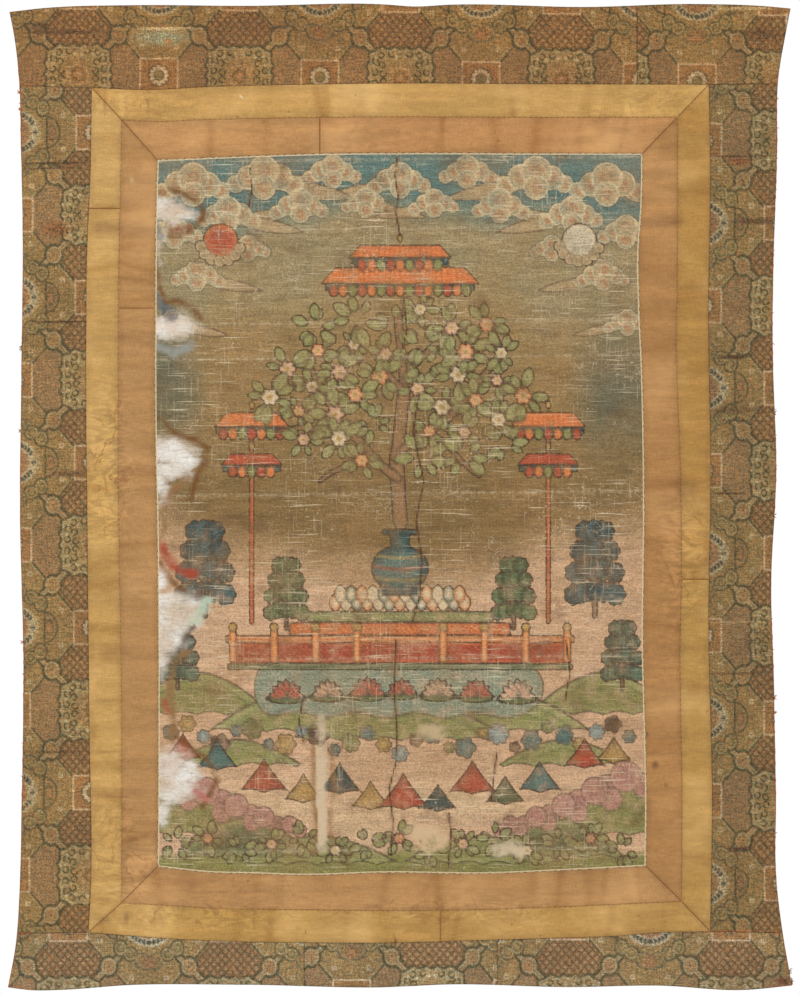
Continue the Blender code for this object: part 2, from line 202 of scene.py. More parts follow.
def smooth_table(at, table):
    """Reads a table of (place, value) rows as one smooth curve that is 0 at both ends."""
    place, value = np.array(((0, 0), *table, (1, 0))).T
    slope = np.gradient(value, place)
    at = np.clip(at, 0, 1)
    row = np.clip(np.searchsorted(place, at, side="right") - 1, 0, len(place) - 2)
    width = place[row + 1] - place[row]
    part = (at - place[row]) / width
    ease = part * part * (3 - 2 * part)
    start_bend = part * (1 - part) ** 2 * slope[row] * width
    end_bend = part * part * (part - 1) * slope[row + 1] * width
    return value[row] * (1 - ease) + value[row + 1] * ease + start_bend + end_bend


def is_level(side):
    return side in ("top", "bottom")


def side_ends(ring, side):
    """Both ends of a side, in metres, and the direction that is outward there."""
    first, last, outward = {
        "top": (ring.top_left, ring.top_right, (0, 1)),
        "right": (ring.top_right, ring.bottom_right, (1, 0)),
        "bottom": (ring.bottom_left, ring.bottom_right, (0, -1)),
        "left": (ring.top_left, ring.bottom_left, (-1, 0)),
    }[side]
    return np.array(first) * MM, np.array(last) * MM, np.array(outward)


def along_side(ring, side, start=0, stop=1, count=241):
    """Evenly spaced points along a stretch of a ring's side."""
    first, last, outward = side_ends(ring, side)
    at = np.linspace(start, stop, count)[:, None]
    return first + (last - first) * at + outward * MM * smooth_table(at, ring.stray[side])


def stretch(ring, side, start_mm, stop_mm):
    """Points along a ring's side between two joins, given by their X, or Z on an upright side."""
    first, last, _ = side_ends(ring, side)
    axis = 0 if is_level(side) else 1
    parts = [end if place is None else (place * MM - first[axis]) / (last[axis] - first[axis])
             for place, end in ((start_mm, 0), (stop_mm, 1))]
    return along_side(ring, side, *parts)


def resample(points, parts):
    """Points at these parts of a polyline's length."""
    lengths = np.concatenate(([0], np.cumsum(np.linalg.norm(np.diff(points, axis=0), axis=1))))
    at = np.asarray(parts) * lengths[-1]
    return np.column_stack([np.interp(at, lengths, points[:, axis]) for axis in (0, 1)])


def length_of(points):
    return float(np.linalg.norm(np.diff(points, axis=0), axis=1).sum())


Cut = namedtuple("Cut", "top bottom left right")


def strip_cut(side, out, into):
    """The four edges of a strip between its outer and its inner line."""
    first, last = (into, out) if side in ("bottom", "right") else (out, into)
    ends = [np.array((first[place], last[place])) for place in (0, -1)]
    return Cut(first, last, *ends) if is_level(side) else Cut(*ends, first, last)


def border_cut(outer, inner, side, start_mm, stop_mm):
    """A border strip between two joins. With no join it runs out to the mitre."""
    return strip_cut(side, *(stretch(ring, side, start_mm, stop_mm) for ring in (outer, inner)))


def brocade_side_cut(side, strip):
    return strip_cut(side, along_side(HEM, side, *strip), along_side(YELLOW_LINE, side))


def brocade_end_cut(side, start_mm, stop_mm=None):
    """The top or bottom strip between two joins. With no join it runs out to the hem."""
    top, bottom, left, right = border_cut(HEM, YELLOW_LINE, side, start_mm, stop_mm)
    at_top = side == "top"
    level, near = (bottom, -1) if at_top else (top, 0)
    if start_mm is None:
        left = along_side(HEM, "left", *((0, LEFT_STRIP[0]) if at_top else (LEFT_STRIP[1], 1)))
        level = np.vstack((left[near], level))
    if stop_mm is None:
        right = along_side(HEM, "right", *((0, RIGHT_STRIP[0]) if at_top else (RIGHT_STRIP[1], 1)))
        level = np.vstack((level, right[near]))
    return Cut(top, level, left, right) if at_top else Cut(level, bottom, left, right)


def marks(length, weave):
    """Parts of a length at which rows of points run: even cells, with extra rows near both ends."""
    even = np.linspace(0, 1, max(FEWEST_CELLS, int(round(length / weave.cell))) + 1)
    if not weave.marks:
        return even
    clear = MARKS_CLEAR * max(weave.marks) / length
    near = np.array(weave.marks) / length
    return np.concatenate(([0], near, even[(even > clear) & (even < 1 - clear)], 1 - near[::-1], [1]))


def patch(cut, across, down):
    """X and Z of a grid of points inside four edges, with each point's distances from the nearer side and
    from the nearer end."""
    gap_u, gap_v = SEAM_CLEARANCE / length_of(cut.top), SEAM_CLEARANCE / length_of(cut.left)
    across = np.clip(across, gap_u, 1 - gap_u)
    down = np.clip(down, gap_v, 1 - gap_v)
    top, bottom = resample(cut.top, across), resample(cut.bottom, across)
    left, right = resample(cut.left, down), resample(cut.right, down)
    u, v = across[None, :, None], down[:, None, None]
    corners = ((1 - u) * (1 - v) * cut.top[0] + u * (1 - v) * cut.top[-1]
               + (1 - u) * v * cut.bottom[0] + u * v * cut.bottom[-1])
    grid = (1 - v) * top[None] + v * bottom[None] + (1 - u) * left[:, None] + u * right[:, None] - corners
    wide = np.linalg.norm(right - left, axis=1)[:, None]
    high = np.linalg.norm(bottom - top, axis=1)[None, :]
    u, v = across[None, :], down[:, None]
    return grid[..., 0], grid[..., 1], np.minimum(u, 1 - u) * wide, np.minimum(v, 1 - v) * high


def pressed(x, z):
    """Relief of the sharp creases."""
    along = z - FOLD_CLIMB * x
    rise = np.zeros_like(x)
    for crease in PRESSED_MM:
        across = (along - crease.height * MM) / (crease.half_width * MM)
        from_left, from_right = x - crease.left * MM, crease.right * MM - x
        span = smooth_step(from_left / CREASE_FADE) * smooth_step(from_right / CREASE_FADE)
        rise += crease.forward * MM * span * np.exp(-(across**2))
    return rise * smooth_step(-z / CREASE_TOP_HOLD)


def rim_faces(front, back, under):
    """Triangles between one edge of the fine front and the same edge of the coarse back."""
    faces = []
    for near, (first, last) in enumerate(zip(under[:-1], under[1:])):
        half = (first + last) // 2
        for place in range(first, last):
            faces.append((front[place + 1], front[place], back[near + (place >= half)]))
        faces.append((front[half], back[near], back[near + 1]))
    return faces


def grid_faces(corner):
    faces = np.stack((corner[:-1, :-1], corner[1:, :-1], corner[1:, 1:], corner[:-1, 1:]), axis=-1)
    return faces.reshape(-1, 4)


def mesh_object(name, points, quads, triangles, materials):
    mesh = bpy.data.meshes.new(name)
    mesh.vertices.add(len(points))
    mesh.vertices.foreach_set("co", np.ravel(points))
    mesh.loops.add(4 * len(quads) + 3 * len(triangles))
    corners = np.concatenate((np.ravel(quads), np.ravel(triangles)))
    mesh.loops.foreach_set("vertex_index", corners.astype(np.int32))
    starts = np.concatenate((4 * np.arange(len(quads)), 4 * len(quads) + 3 * np.arange(len(triangles))))
    mesh.polygons.add(len(starts))
    mesh.polygons.foreach_set("loop_start", starts.astype(np.int32))
    mesh.update(calc_edges=True)
    mesh.shade_smooth()
    mesh.set_sharp_from_angle(angle=np.radians(SHARP_EDGE))
    for material in materials:
        mesh.materials.append(material)
    obj = bpy.data.objects.new(name, mesh)
    bpy.context.scene.collection.objects.link(obj)
    return obj


# A made sheet, with its front points' places and distances in mm
Sheet = namedtuple("Sheet", "obj x z inside endways back_count")


def store(sheet, name, values):
    """Keeps values with a sheet's front points. The back, which doesn't read them, gets zeros."""
    values = np.asarray(values, dtype=np.float32)
    colour = values.ndim == 2
    full = np.zeros((len(values) + sheet.back_count, 4 if colour else 1), dtype=np.float32)
    full[:len(values), :3 if colour else 1] = values.reshape(len(values), -1)
    kind, key = ("FLOAT_COLOR", "color") if colour else ("FLOAT", "value")
    sheet.obj.data.attributes.new(name, kind, "POINT").data.foreach_set(key, full.ravel())


def cloth(name, cut, weave, materials):
    """A closed sheet of cloth with a fine front, a coarse back and a narrow rim, on its solid's folds."""
    level = cut.top if len(cut.top) > 2 else cut.bottom
    upright = cut.left if len(cut.left) > 2 else cut.right
    across, down = (marks(length_of(edge), weave) for edge in (level, upright))
    x, z, sideways, endways = patch(cut, across, down)
    inside = np.minimum(sideways, endways)
    fold = forward(x, z) + pressed(x, z)
    ripple = weave.ripple * weave.wave(x, z) * smooth_step(inside / weave.reach)
    y = -fold - ripple - weave.thickness / 2 + EDGE_DROP * np.exp(-((inside / EDGE_ROUND) ** 2))
    picked, columns = (sorted({*range(0, len(part), step), len(part) - 1})
                       for part, step in zip((down, across), weave.back_steps))
    pick = np.ix_(picked, columns)
    front = np.column_stack((x.ravel(), y.ravel(), z.ravel()))
    back = np.column_stack((x[pick].ravel(), weave.thickness / 2 - fold[pick].ravel(), z[pick].ravel()))
    fine = np.arange(x.size).reshape(x.shape)
    coarse = np.arange(len(back)).reshape(len(picked), len(columns)) + x.size
    turned_columns, turned_rows = ([under[-1] - place for place in under[::-1]]
                                   for under in (columns, picked))
    rim = [
        *rim_faces(fine[0], coarse[0], columns),
        *rim_faces(fine[-1, ::-1], coarse[-1, ::-1], turned_columns),
        *rim_faces(fine[::-1, 0], coarse[::-1, 0], turned_rows),
        *rim_faces(fine[:, -1], coarse[:, -1], picked),
    ]
    faces = np.concatenate((grid_faces(fine), grid_faces(coarse)[:, ::-1]))
    obj = mesh_object(name, np.concatenate((front, back)), faces, rim, materials)
    behind = np.zeros(len(obj.data.polygons), dtype=np.int32)
    behind[(fine.shape[0] - 1) * (fine.shape[1] - 1):len(faces)] = 1
    obj.data.polygons.foreach_set("material_index", behind)
    sheet = Sheet(obj, *(values.ravel() / MM for values in (x, z, inside, endways)), len(back))
    store(sheet, "edge_mm", sheet.inside)
    return sheet


def flat_size(cut):
    """Width and length of the cut of cloth before it was sewn and hung, and its area."""
    outline = np.concatenate((cut.top, cut.right, cut.bottom[::-1], cut.left[::-1]))
    after = np.roll(outline, -1, axis=0)
    area = abs(float((outline[:, 0] * after[:, 1] - after[:, 0] * outline[:, 1]).sum())) / 2
    return tuple(float(size) for size in np.ptp(outline, axis=0)), area


def cover(distance, soft):
    """How much a soft-edged shape covers at a distance outside it."""
    return np.clip(0.5 - distance / soft, 0, 1)


def blend(first, last, part):
    part = np.clip(part, 0, 1)[..., None]
    return np.asarray(first) * (1 - part) + np.asarray(last) * part


# Shapes, as the distance of a point outside them in mm
CURL_GAP = 0.75  # half the angle that a scroll leaves open


def ellipse(x, z, half_x, half_z):
    return (np.hypot(x / half_x, z / half_z) - 1) * min(half_x, half_z)


def box(x, z, half_x, half_z, corner=0):
    out_x = np.abs(x) - half_x + corner
    out_z = np.abs(z) - half_z + corner
    outside = np.hypot(np.maximum(out_x, 0), np.maximum(out_z, 0))
    return outside + np.minimum(np.maximum(out_x, out_z), 0) - corner


def capsule(x, z, start, end, half_width):
    run = np.array(end) - np.array(start)
    along = np.clip(((x - start[0]) * run[0] + (z - start[1]) * run[1]) / (run @ run), 0, 1)
    return np.hypot(x - start[0] - along * run[0], z - start[1] - along * run[1]) - half_width


def flower(x, z, radius, petals, depth):
    """A round blossom whose edge dips between its petals by this share of the radius."""
    angle = np.arctan2(z, x)
    return np.hypot(x, z) - radius * (1 - depth + depth * np.abs(np.cos(angle * petals / 2)))


def curl(x, z, radius, opening):
    """A C-shaped scroll, as the distance to its middle line. It opens towards an angle."""
    tips = [np.hypot(x - radius * np.cos(tip), z - radius * np.sin(tip))
            for tip in (opening + CURL_GAP, opening - CURL_GAP)]
    on_arc = np.abs(centred(np.arctan2(z, x) - opening, TURN)) > CURL_GAP
    return np.where(on_arc, np.abs(np.hypot(x, z) - radius), np.minimum(*tips))


# Brocade. Sizes in mm, colours as display values from 0 to 255.
HALF_REPEAT = (93.4, 95.7)
BUD_PITCH = (6.2, 6.8)
TRELLIS_PITCH, TRELLIS_CELL = (8.9, 10.2), 6.7
KNOT_AT = (46.7, 49.3)
CARTOUCHE_HALF = (38.3, 34.8)
MEDALLION_HALF = (31.3, 27.3)
WEAVE_SOFT = 1.2
OLIVE, PLAIN, SLATE, SHINE = (148, 118, 72), (144, 112, 74), (76, 71, 46), (166, 150, 112)
BUD, BUD_LINE, FLORET = (164, 132, 80), (126, 98, 58), (164, 130, 86)
TRELLIS, TRELLIS_LINE, BAND = (138, 105, 68), (92, 64, 36), (150, 116, 72)
CARTOUCHE, CARTOUCHE_MIDDLE, BLOSSOM_EYE = (156, 130, 84), (154, 118, 72), (176, 136, 96)
LEAF, HOOK, CREAM, PETAL = (82, 76, 42), (60, 58, 36), (192, 172, 130), (192, 172, 132)
ORANGE_BROWN, PINK, DROP = (152, 110, 66), (168, 124, 84), (68, 68, 54)
BRACKET, BRACKET_EYE, LOBE = (142, 112, 72), (156, 104, 70), (146, 120, 74)
BOWL, BOWL_INSIDE, BOWL_LINE = (146, 118, 72), (160, 104, 70), (96, 88, 66)
MEDALLION, RING, EYE = (148, 122, 78), (140, 122, 86), (120, 104, 66)
ROSETTE, ROSETTE_LINE = (150, 112, 74), (96, 84, 62)
SQUARE_LINE, SQUARE_DARK = (204, 172, 130), (98, 80, 54)
SQUARE_FLOWER, SQUARE_EYE = (200, 174, 134), (134, 116, 72)


class Canvas:
    """Colours laid over a set of points, one shape on another."""

    def __init__(self, shape, ground):
        self.colour = np.empty((*shape, 3))
        self.colour[...] = ground

    def fill(self, distance, colour, strength=1):
        mask = (cover(distance, WEAVE_SOFT) * strength)[..., None]
        self.colour = self.colour * (1 - mask) + np.array(colour) * mask

    def line(self, distance, width, colour, strength):
        self.fill(np.abs(distance) - width / 2, colour, strength)


def draw_ground(art, side, rise, p, q):
    """Buds all over, the trellis and the plain field outside the octagon, and its cut corners."""
    bud_x = centred(side, BUD_PITCH[0])
    shifted = np.floor((side + BUD_PITCH[0] / 2) / BUD_PITCH[0]) % 2
    bud_z = centred(rise + BUD_PITCH[1] / 2 * shifted, BUD_PITCH[1])
    art.fill(ellipse(bud_x, bud_z, 1.6, 2.3), BUD, 0.6)
    art.line(ellipse(bud_x, bud_z, 2.3, 3.1), 0.8, BUD_LINE, 0.5)
    beyond = 0.764 * p + 0.645 * q - 66.4
    towards_plain = (q - KNOT_AT[1]) - (p - KNOT_AT[0]) * 1.04
    trellis = np.maximum(-beyond, towards_plain * 0.7)
    art.fill(np.maximum(-beyond, -towards_plain * 0.7), PLAIN)
    art.fill(trellis, TRELLIS)
    cell_a, cell_b = (TRELLIS_CELL * centred(side / TRELLIS_PITCH[0] + lean * rise / TRELLIS_PITCH[1], 1)
                      for lean in (1, -1))
    in_trellis = cover(trellis, WEAVE_SOFT)
    bars = TRELLIS_CELL / 2 - np.maximum(np.abs(cell_a), np.abs(cell_b)) - 0.75
    art.fill(bars, TRELLIS_LINE, 0.7 * in_trellis)
    art.fill(ellipse(cell_a, cell_b, 1.7, 1.7), FLORET, 0.65 * in_trellis)
    art.line(beyond, 2.2, SLATE, 0.85)
    art.line(beyond + 2.4, 1.3, SHINE, 0.6)


def draw_knot(art, p, q):
    """The knot between cartouches, run into its two bands."""
    at_p, at_q = p - KNOT_AT[0], q - KNOT_AT[1]
    band = np.minimum(capsule(p, q, KNOT_AT, (67.5, 70.5), 4.3), capsule(p, q, (35, 38.5), KNOT_AT, 3.9))
    link = np.minimum(ellipse(at_p, at_q, 10.2, 11.6), band)
    art.fill(link, BAND)
    art.line(link + 2.6, 1.4, SHINE, 0.75)
    art.line(link, 2.9, SLATE, 0.92)
    art.fill(flower(at_p, at_q, 4, 6, 0.3), PINK, 0.6)
    art.fill(ellipse(at_p, at_q, 1.2, 1.2), LEAF, 0.8)


def draw_cartouche(art, a, b):
    """A scalloped frame with scrolls and small blossoms round a large one. a and b are from its middle."""
    around = np.arctan2(b / CARTOUCHE_HALF[1], a / CARTOUCHE_HALF[0])
    scalloped = box(a, b, *CARTOUCHE_HALF, 17) + (2.9 * np.abs(np.sin(around * 9)) - 1.7)
    art.fill(scalloped, CARTOUCHE)
    art.fill(ellipse(a, b, 21, 19.5), CARTOUCHE_MIDDLE, 0.6)
    for at_a, at_b, opening in ((30, 6.5, 1.2), (29, 18.5, 4), (22.5, 26, 0.3), (10.5, 27.5, 2.8),
                                (21.5, 15, 5.4), (20, 4.5, 2.4)):
        art.line(curl(a - at_a, b - at_b, 3.4, opening), 1.7, HOOK, 0.9)
    for at_a, at_b in ((30, 13), (18, 22.5), (4.5, 24.5), (28, 23)):
        art.fill(flower(a - at_a, b - at_b, 2.6, 4, 0.3), CREAM, 0.7)
    art.fill(flower(a, b, 13.4, 8, 0.25), ORANGE_BROWN, 0.8)
    art.line(flower(a, b, 12.6, 8, 0.28), 1.8, CREAM, 0.55)
    art.line(flower(a, b, 7.6, 8, 0.28), 1.3, LEAF, 0.7)
    art.fill(ellipse(a, b, 3.4, 3.4), BLOSSOM_EYE, 0.8)
    art.line(scalloped + 3.2, 1.7, SHINE, 0.75)
    art.line(scalloped, 2.7, SLATE, 0.9)


def draw_brackets(art, p, q):
    """Kidney shapes, lobes, bowls and small squares round the medallion."""
    kidney = np.maximum(ellipse(p - 38.5, q, 14, 17.5), 37.6 - p)
    art.fill(kidney, BRACKET)
    art.line(kidney, 1.9, SLATE, 0.8)
    art.fill(ellipse(p - 43.5, q, 3.6, 7.5), BRACKET_EYE, 0.5)
    art.line(ellipse(p - 43.5, q, 4, 8.5), 1.3, LEAF, 0.6)
    art.line(capsule(p, q, (37.6, 0), (37.6, 22), 0), 1.8, SLATE, 0.8)
    lobes = np.minimum(ellipse(p - 21.5, q - 35, 8.5, 8), ellipse(p - 33, q - 28, 7.6, 9.5))
    art.fill(lobes, LOBE)
    art.line(lobes + 2.2, 1, SHINE, 0.45)
    art.line(lobes, 1.9, SLATE, 0.8)
    art.line(curl(p - 22, q - 34.5, 4, 5.5), 1.4, LEAF, 0.7)
    art.line(curl(p - 33, q - 28, 4, 3.8), 1.4, LEAF, 0.7)
    bowl = np.minimum(ellipse(p - 8.5, q - 41, 8, 7), ellipse(p, q - 46.5, 14.5, 6.5))
    art.fill(bowl, BOWL)
    art.fill(ellipse(p, q - 43.5, 9, 8), BOWL_INSIDE, 0.55)
    art.line(bowl, 1.7, BOWL_LINE, 0.8)
    art.line(curl(p - 8, q - 41, 3.6, 4.7), 1.3, LEAF, 0.6)
    for at_p, at_q in ((20.3, 62.3), (56.8, 19.7)):
        art.fill(box(p - at_p, q - at_q, 2.9, 2.9, 1), CREAM, 0.75)
        art.fill(box(p - at_p, q - at_q, 1.1, 1.1), ORANGE_BROWN, 0.8)


def draw_medallion(art, p, q):
    """Rings of dashes and drops round a rosette."""
    art.fill(ellipse(p, q, *MEDALLION_HALF), MEDALLION)
    angle = np.arctan2(q / MEDALLION_HALF[1], p / MEDALLION_HALF[0])
    art.line(ellipse(p, q, 29.4, 25.6), 2.4, CREAM, 0.2 + 0.35 * (np.cos(angle * 26) > 0))
    art.fill(np.abs(ellipse(p, q, 24.6, 21.6)) - 3.4, RING, 0.7)
    loops, drops = (0.2, 0.4), (0, 0.58, 0.785, 0.99, 1.17, 1.37, 1.5708)
    for centre in sorted(loops + drops):
        ring_p, ring_q = p - 24.2 * np.cos(centre), q - 21.2 * np.sin(centre)
        if centre in loops:
            art.line(ellipse(ring_p, ring_q, 2.9, 2.6), 1.3, PETAL, 0.75)
        else:
            art.fill(ellipse(ring_p, ring_q, 2.7, 3.1), DROP, 0.95)
            art.line(ellipse(ring_p, ring_q, 3.9, 4.2), 1.2, PETAL, 0.85)
    art.fill(flower(p / 1.1, q, 18.6, 12, 0.1), ROSETTE)
    art.line(flower(p / 1.1, q, 18.2, 12, 0.1), 1.5, PETAL, 0.7)
    art.fill(flower(p, q, 11.5, 8, 0.3), PINK, 0.8)
    art.line(flower(p, q, 11, 8, 0.3), 1.3, ROSETTE_LINE, 0.7)
    art.fill(ellipse(p, q, 4.4, 4.2), EYE, 0.9)


def draw_square(art, a, b):
    """A small square with a round blossom. a and b are from its middle."""
    square = box(a, b, 21.7, 19.4)
    art.fill(square, ORANGE_BROWN)
    art.line(square, 1.9, SQUARE_LINE, 0.95)
    art.fill(flower(a, b, 13.6, 13, 0.08), SQUARE_DARK, 0.8)
    art.fill(flower(a, b, 11.8, 13, 0.22), SQUARE_FLOWER, 0.9)
    art.fill(ellipse(a, b, 6.4, 6.4), SQUARE_DARK, 0.85)
    art.fill(ellipse(a, b, 4.9, 4.9), SQUARE_EYE, 0.95)


def brocade(x, z, origin):
    """Colours of the brocade. The origin is a medallion's middle. A quarter of the repeat is drawn."""
    wide, high = HALF_REPEAT
    side, rise = centred(x - origin[0], 2 * wide), centred(z - origin[1], 2 * high)
    p, q = np.abs(side), np.abs(rise)
    art = Canvas(x.shape, OLIVE)
    draw_ground(art, side, rise, p, q)
    draw_knot(art, p, q)
    draw_cartouche(art, wide - p, high - q)
    draw_brackets(art, p, q)
    draw_medallion(art, p, q)
    draw_square(art, p - wide, q)
    draw_square(art, p, q - high)
    return art.colour


# The painting: a garden made up in the colours and at the scale of the old one
INK = (56, 44, 36)
SKY_TOP, DEEP_SKY, MOON_SHADE = (82, 112, 106), (56, 84, 84), (190, 176, 146)
PEACH, EARTH, FIELD = (147, 130, 94), (122, 97, 59), (148, 121, 78)
ROSY, SAND = (196, 158, 124), (204, 176, 136)
CLOUD, CLOUD_EDGE = (168, 142, 104), (214, 192, 150)
LEAF_GREEN, DEEP_GREEN, GRASS, DRY_LEAF = (130, 130, 76), (74, 88, 58), (126, 123, 71), (146, 138, 88)
LEAF_LIGHT, HILL_LIGHT, TILE, PINE = (156, 150, 98), (150, 148, 96), (150, 146, 96), (66, 82, 66)
BLUE, DEEP_BLUE, WATER = (82, 110, 102), (30, 66, 70), (118, 130, 110)
SHORE, WAVE = (160, 150, 118), (180, 172, 138)
ORANGE, RED, OCHRE = (206, 118, 66), (170, 74, 52), (176, 138, 78)
WHITE, POST = (212, 190, 152), (222, 146, 88)
BARK, BARK_LIGHT, ROSE = (112, 82, 58), (146, 110, 76), (196, 140, 112)
MIST, MIST_EDGE, STONE, UMBER_ROCK = (160, 112, 100), (178, 132, 114), (150, 156, 144), (84, 62, 48)
GOLDEN_TURN = 2.39996  # sets the sprays of the tree evenly apart
PAINT_SOFT = 2.4


def dimmed(colour, part):
    return tuple(channel * part for channel in colour)


class Layer:
    """One coat of painted shapes: a colour at each point, and how far the point lies outside them, in mm."""

    def __init__(self, x, z):
        self.x, self.z = x, z
        self.colour = np.zeros((len(x), 3))
        self.edge = np.full(len(x), FAR)

    def near(self, at, reach):
        return np.nonzero((np.abs(self.x - at[0]) < reach) & (np.abs(self.z - at[1]) < reach))[0]

    def draw(self, at, reach, shape, colour, inner=None, depth=4, outline=1.2):
        """Lays a shape over the coat. It turns to the inner colour this deep inside its inked outline."""
        near = self.near(at, reach)
        distance = shape(self.x[near] - at[0], self.z[near] - at[1])
        fresh = (self.edge[near] > 0) & (distance < self.edge[near])
        weight = np.where(fresh, 1, cover(distance, PAINT_SOFT))
        paint = blend(colour, colour if inner is None else inner, -distance / depth)
        self.colour[near] = blend(self.colour[near], paint, weight)
        self.edge[near] = np.minimum(self.edge[near], distance)
        if outline:
            self.stroke(at, reach, shape, outline, INK, 0.75)

    def stroke(self, at, reach, distance, width, colour, strength):
        """Draws a line on the coat. The shape gives the distance to its middle."""
        near = self.near(at, reach)
        away = np.abs(distance(self.x[near] - at[0], self.z[near] - at[1])) - width / 2
        self.colour[near] = blend(self.colour[near], colour, cover(away, PAINT_SOFT) * strength)


def turned(shape, angle):
    """The shape turned counterclockwise about its origin."""
    cos, sin = np.cos(angle), np.sin(angle)
    return lambda x, z: shape(x * cos + z * sin, z * cos - x * sin)


def petal(length, width):
    """A pointed oval from the origin along +Z."""
    half, wide = length / 2, width / 2
    radius = (half * half + wide * wide) / (2 * wide)
    return lambda x, z: np.hypot(np.abs(x) + radius - wide, z - half) - radius


def disc(radius):
    return lambda x, z: np.hypot(x, z) - radius


def oval(half_x, half_z):
    return lambda x, z: ellipse(x, z, half_x, half_z)


def panel_of(half_x, half_z, corner=0):
    return lambda x, z: box(x, z, half_x, half_z, corner)


def bloom(radius, petals, depth=0.28):
    return lambda x, z: flower(x, z, radius, petals, depth)


def limb(start, end, half_width, bend=0):
    return lambda x, z: capsule(x, z + bend * np.sin(x / 9), start, end, half_width)


def peak(half_width, height, power):
    """A hill with a rounded top and a scalloped foot at the origin."""
    def shape(x, z):
        top = height * (1 - np.abs(x / half_width) ** power)
        return np.maximum((z - top) * 0.55, -z - 6 + 4 * np.abs(np.sin(x / 11)))
    return shape


def lattice(half_x, half_z, pitch):
    """Slanting lines both ways inside a box."""
    def shape(x, z):
        lines = [np.abs(centred(x + lean * z, pitch)) for lean in (-1, 1)]
        return np.where(box(x, z, half_x, half_z) < 0, np.minimum(*lines), FAR)
    return shape


def cloud(coat, at, size, lean):
    """A bank of scrolled cloud: lobes with a curl in each, and a tail."""
    coat.draw(at, size * 6.5, turned(petal(size * 6, size), lean * 1.75), CLOUD, outline=0.8)
    for across, up, part in ((-1.9, -0.2, 0.62), (1.8, -0.1, 0.6), (-1, 0.35, 0.85), (0.95, 0.3, 0.82),
                             (0, 0.75, 1), (0, -0.35, 0.8)):
        lobe_at, radius = (at[0] + across * size * lean, at[1] + up * size), size * part
        reach = radius * 1.6 + 6
        coat.draw(lobe_at, reach, disc(radius), CLOUD_EDGE, CLOUD, radius * 0.4, outline=0)
        coat.stroke(lobe_at, reach, disc(radius * 0.98), 1.4, CLOUD_EDGE, 0.8)
        for share, opening, colour in ((0.55, 4, CLOUD_EDGE), (0.82, 1, BLUE), (0.3, 2.5, RED)):
            scroll = lambda x, z, r=radius * share, o=opening + lean: curl(x, z, r, o)
            coat.stroke(lobe_at, radius * 1.5, scroll, 1.1, colour, 0.6)


def lotus(coat, at, size, colour, inner):
    coat.draw((at[0], at[1] - 3), size * 1.5, oval(size * 1.1, size * 0.3), GRASS, DEEP_GREEN, 5)
    for spread, reach, tall in ((7, 1.5, 1), (5, 1.15, 0.8)):
        for step in range(spread):
            angle = (step / (spread - 1) - 0.5) * 2 * reach
            leaf = turned(petal(size * tall, size * 0.42), angle)
            coat.draw(at, size * 1.6 + 5, leaf, colour, inner, size * 0.16, outline=1)


def spray(coat, at, size, leaves, turn, blossom):
    """A ring of leaves round a blossom."""
    for step in range(leaves):
        angle = turn + TURN * step / leaves + 0.3 * np.sin(step * 2.3 + at[0])
        start = (at[0] - 0.36 * size * np.sin(angle), at[1] + 0.36 * size * np.cos(angle))
        long = size * (0.82 + 0.16 * np.sin(step * 1.9 + at[1]))
        colour = (LEAF_GREEN, GRASS, DRY_LEAF)[(step + int(abs(at[0]))) % 3]
        coat.draw(start, size + 6, turned(petal(long, long * 0.58), angle), colour, LEAF_LIGHT, size * 0.2)
        coat.stroke(start, size + 6, turned(limb((0, 2), (0, size * 0.7), 0), angle), 0.8, DEEP_GREEN, 0.6)
    if blossom is not None:
        coat.draw(at, size, bloom(size * 0.40, 6), blossom, WHITE, size * 0.3, outline=1)
        coat.draw(at, size, disc(size * 0.12), OCHRE, outline=0)


def jewel(coat, at, size, colour):
    tall = size * 1.5
    coat.draw(at, size * 2, peak(size * 1.05, tall, 0.82), dimmed(colour, 0.85), colour, size * 0.35, 0.8)
    for lean in (-0.55, -0.1, 0.35):
        coat.stroke(at, size * 2, limb((0, tall * 0.8), (lean * size, 0), 0, 1), 0.9, INK, 0.35)


def stacked_tree(coat, at, size, colour):
    """A round tree whose boughs lie in tiers."""
    coat.draw(at, size * 2.4, limb((0, -size * 1.7), (0, 0), size * 0.08), BARK)
    tiers = ((-1.05, 1, 5), (-0.35, 0.95, 5), (0.3, 0.72, 4), (0.9, 0.45, 3))
    for tier, (up, wide, count) in enumerate(tiers):
        for step in range(count):
            across = (step / (count - 1) - 0.5) * wide * size * 1.3
            tuft = (at[0] + across, at[1] + size * (up + 0.16 * np.cos(across / size * 2)))
            shade = dimmed(colour, (1, 1.25, 0.85)[(step + tier) % 3])
            coat.draw(tuft, size, bloom(size * 0.36, 7, 0.16), shade, dimmed(colour, 1.3), size * 0.5)


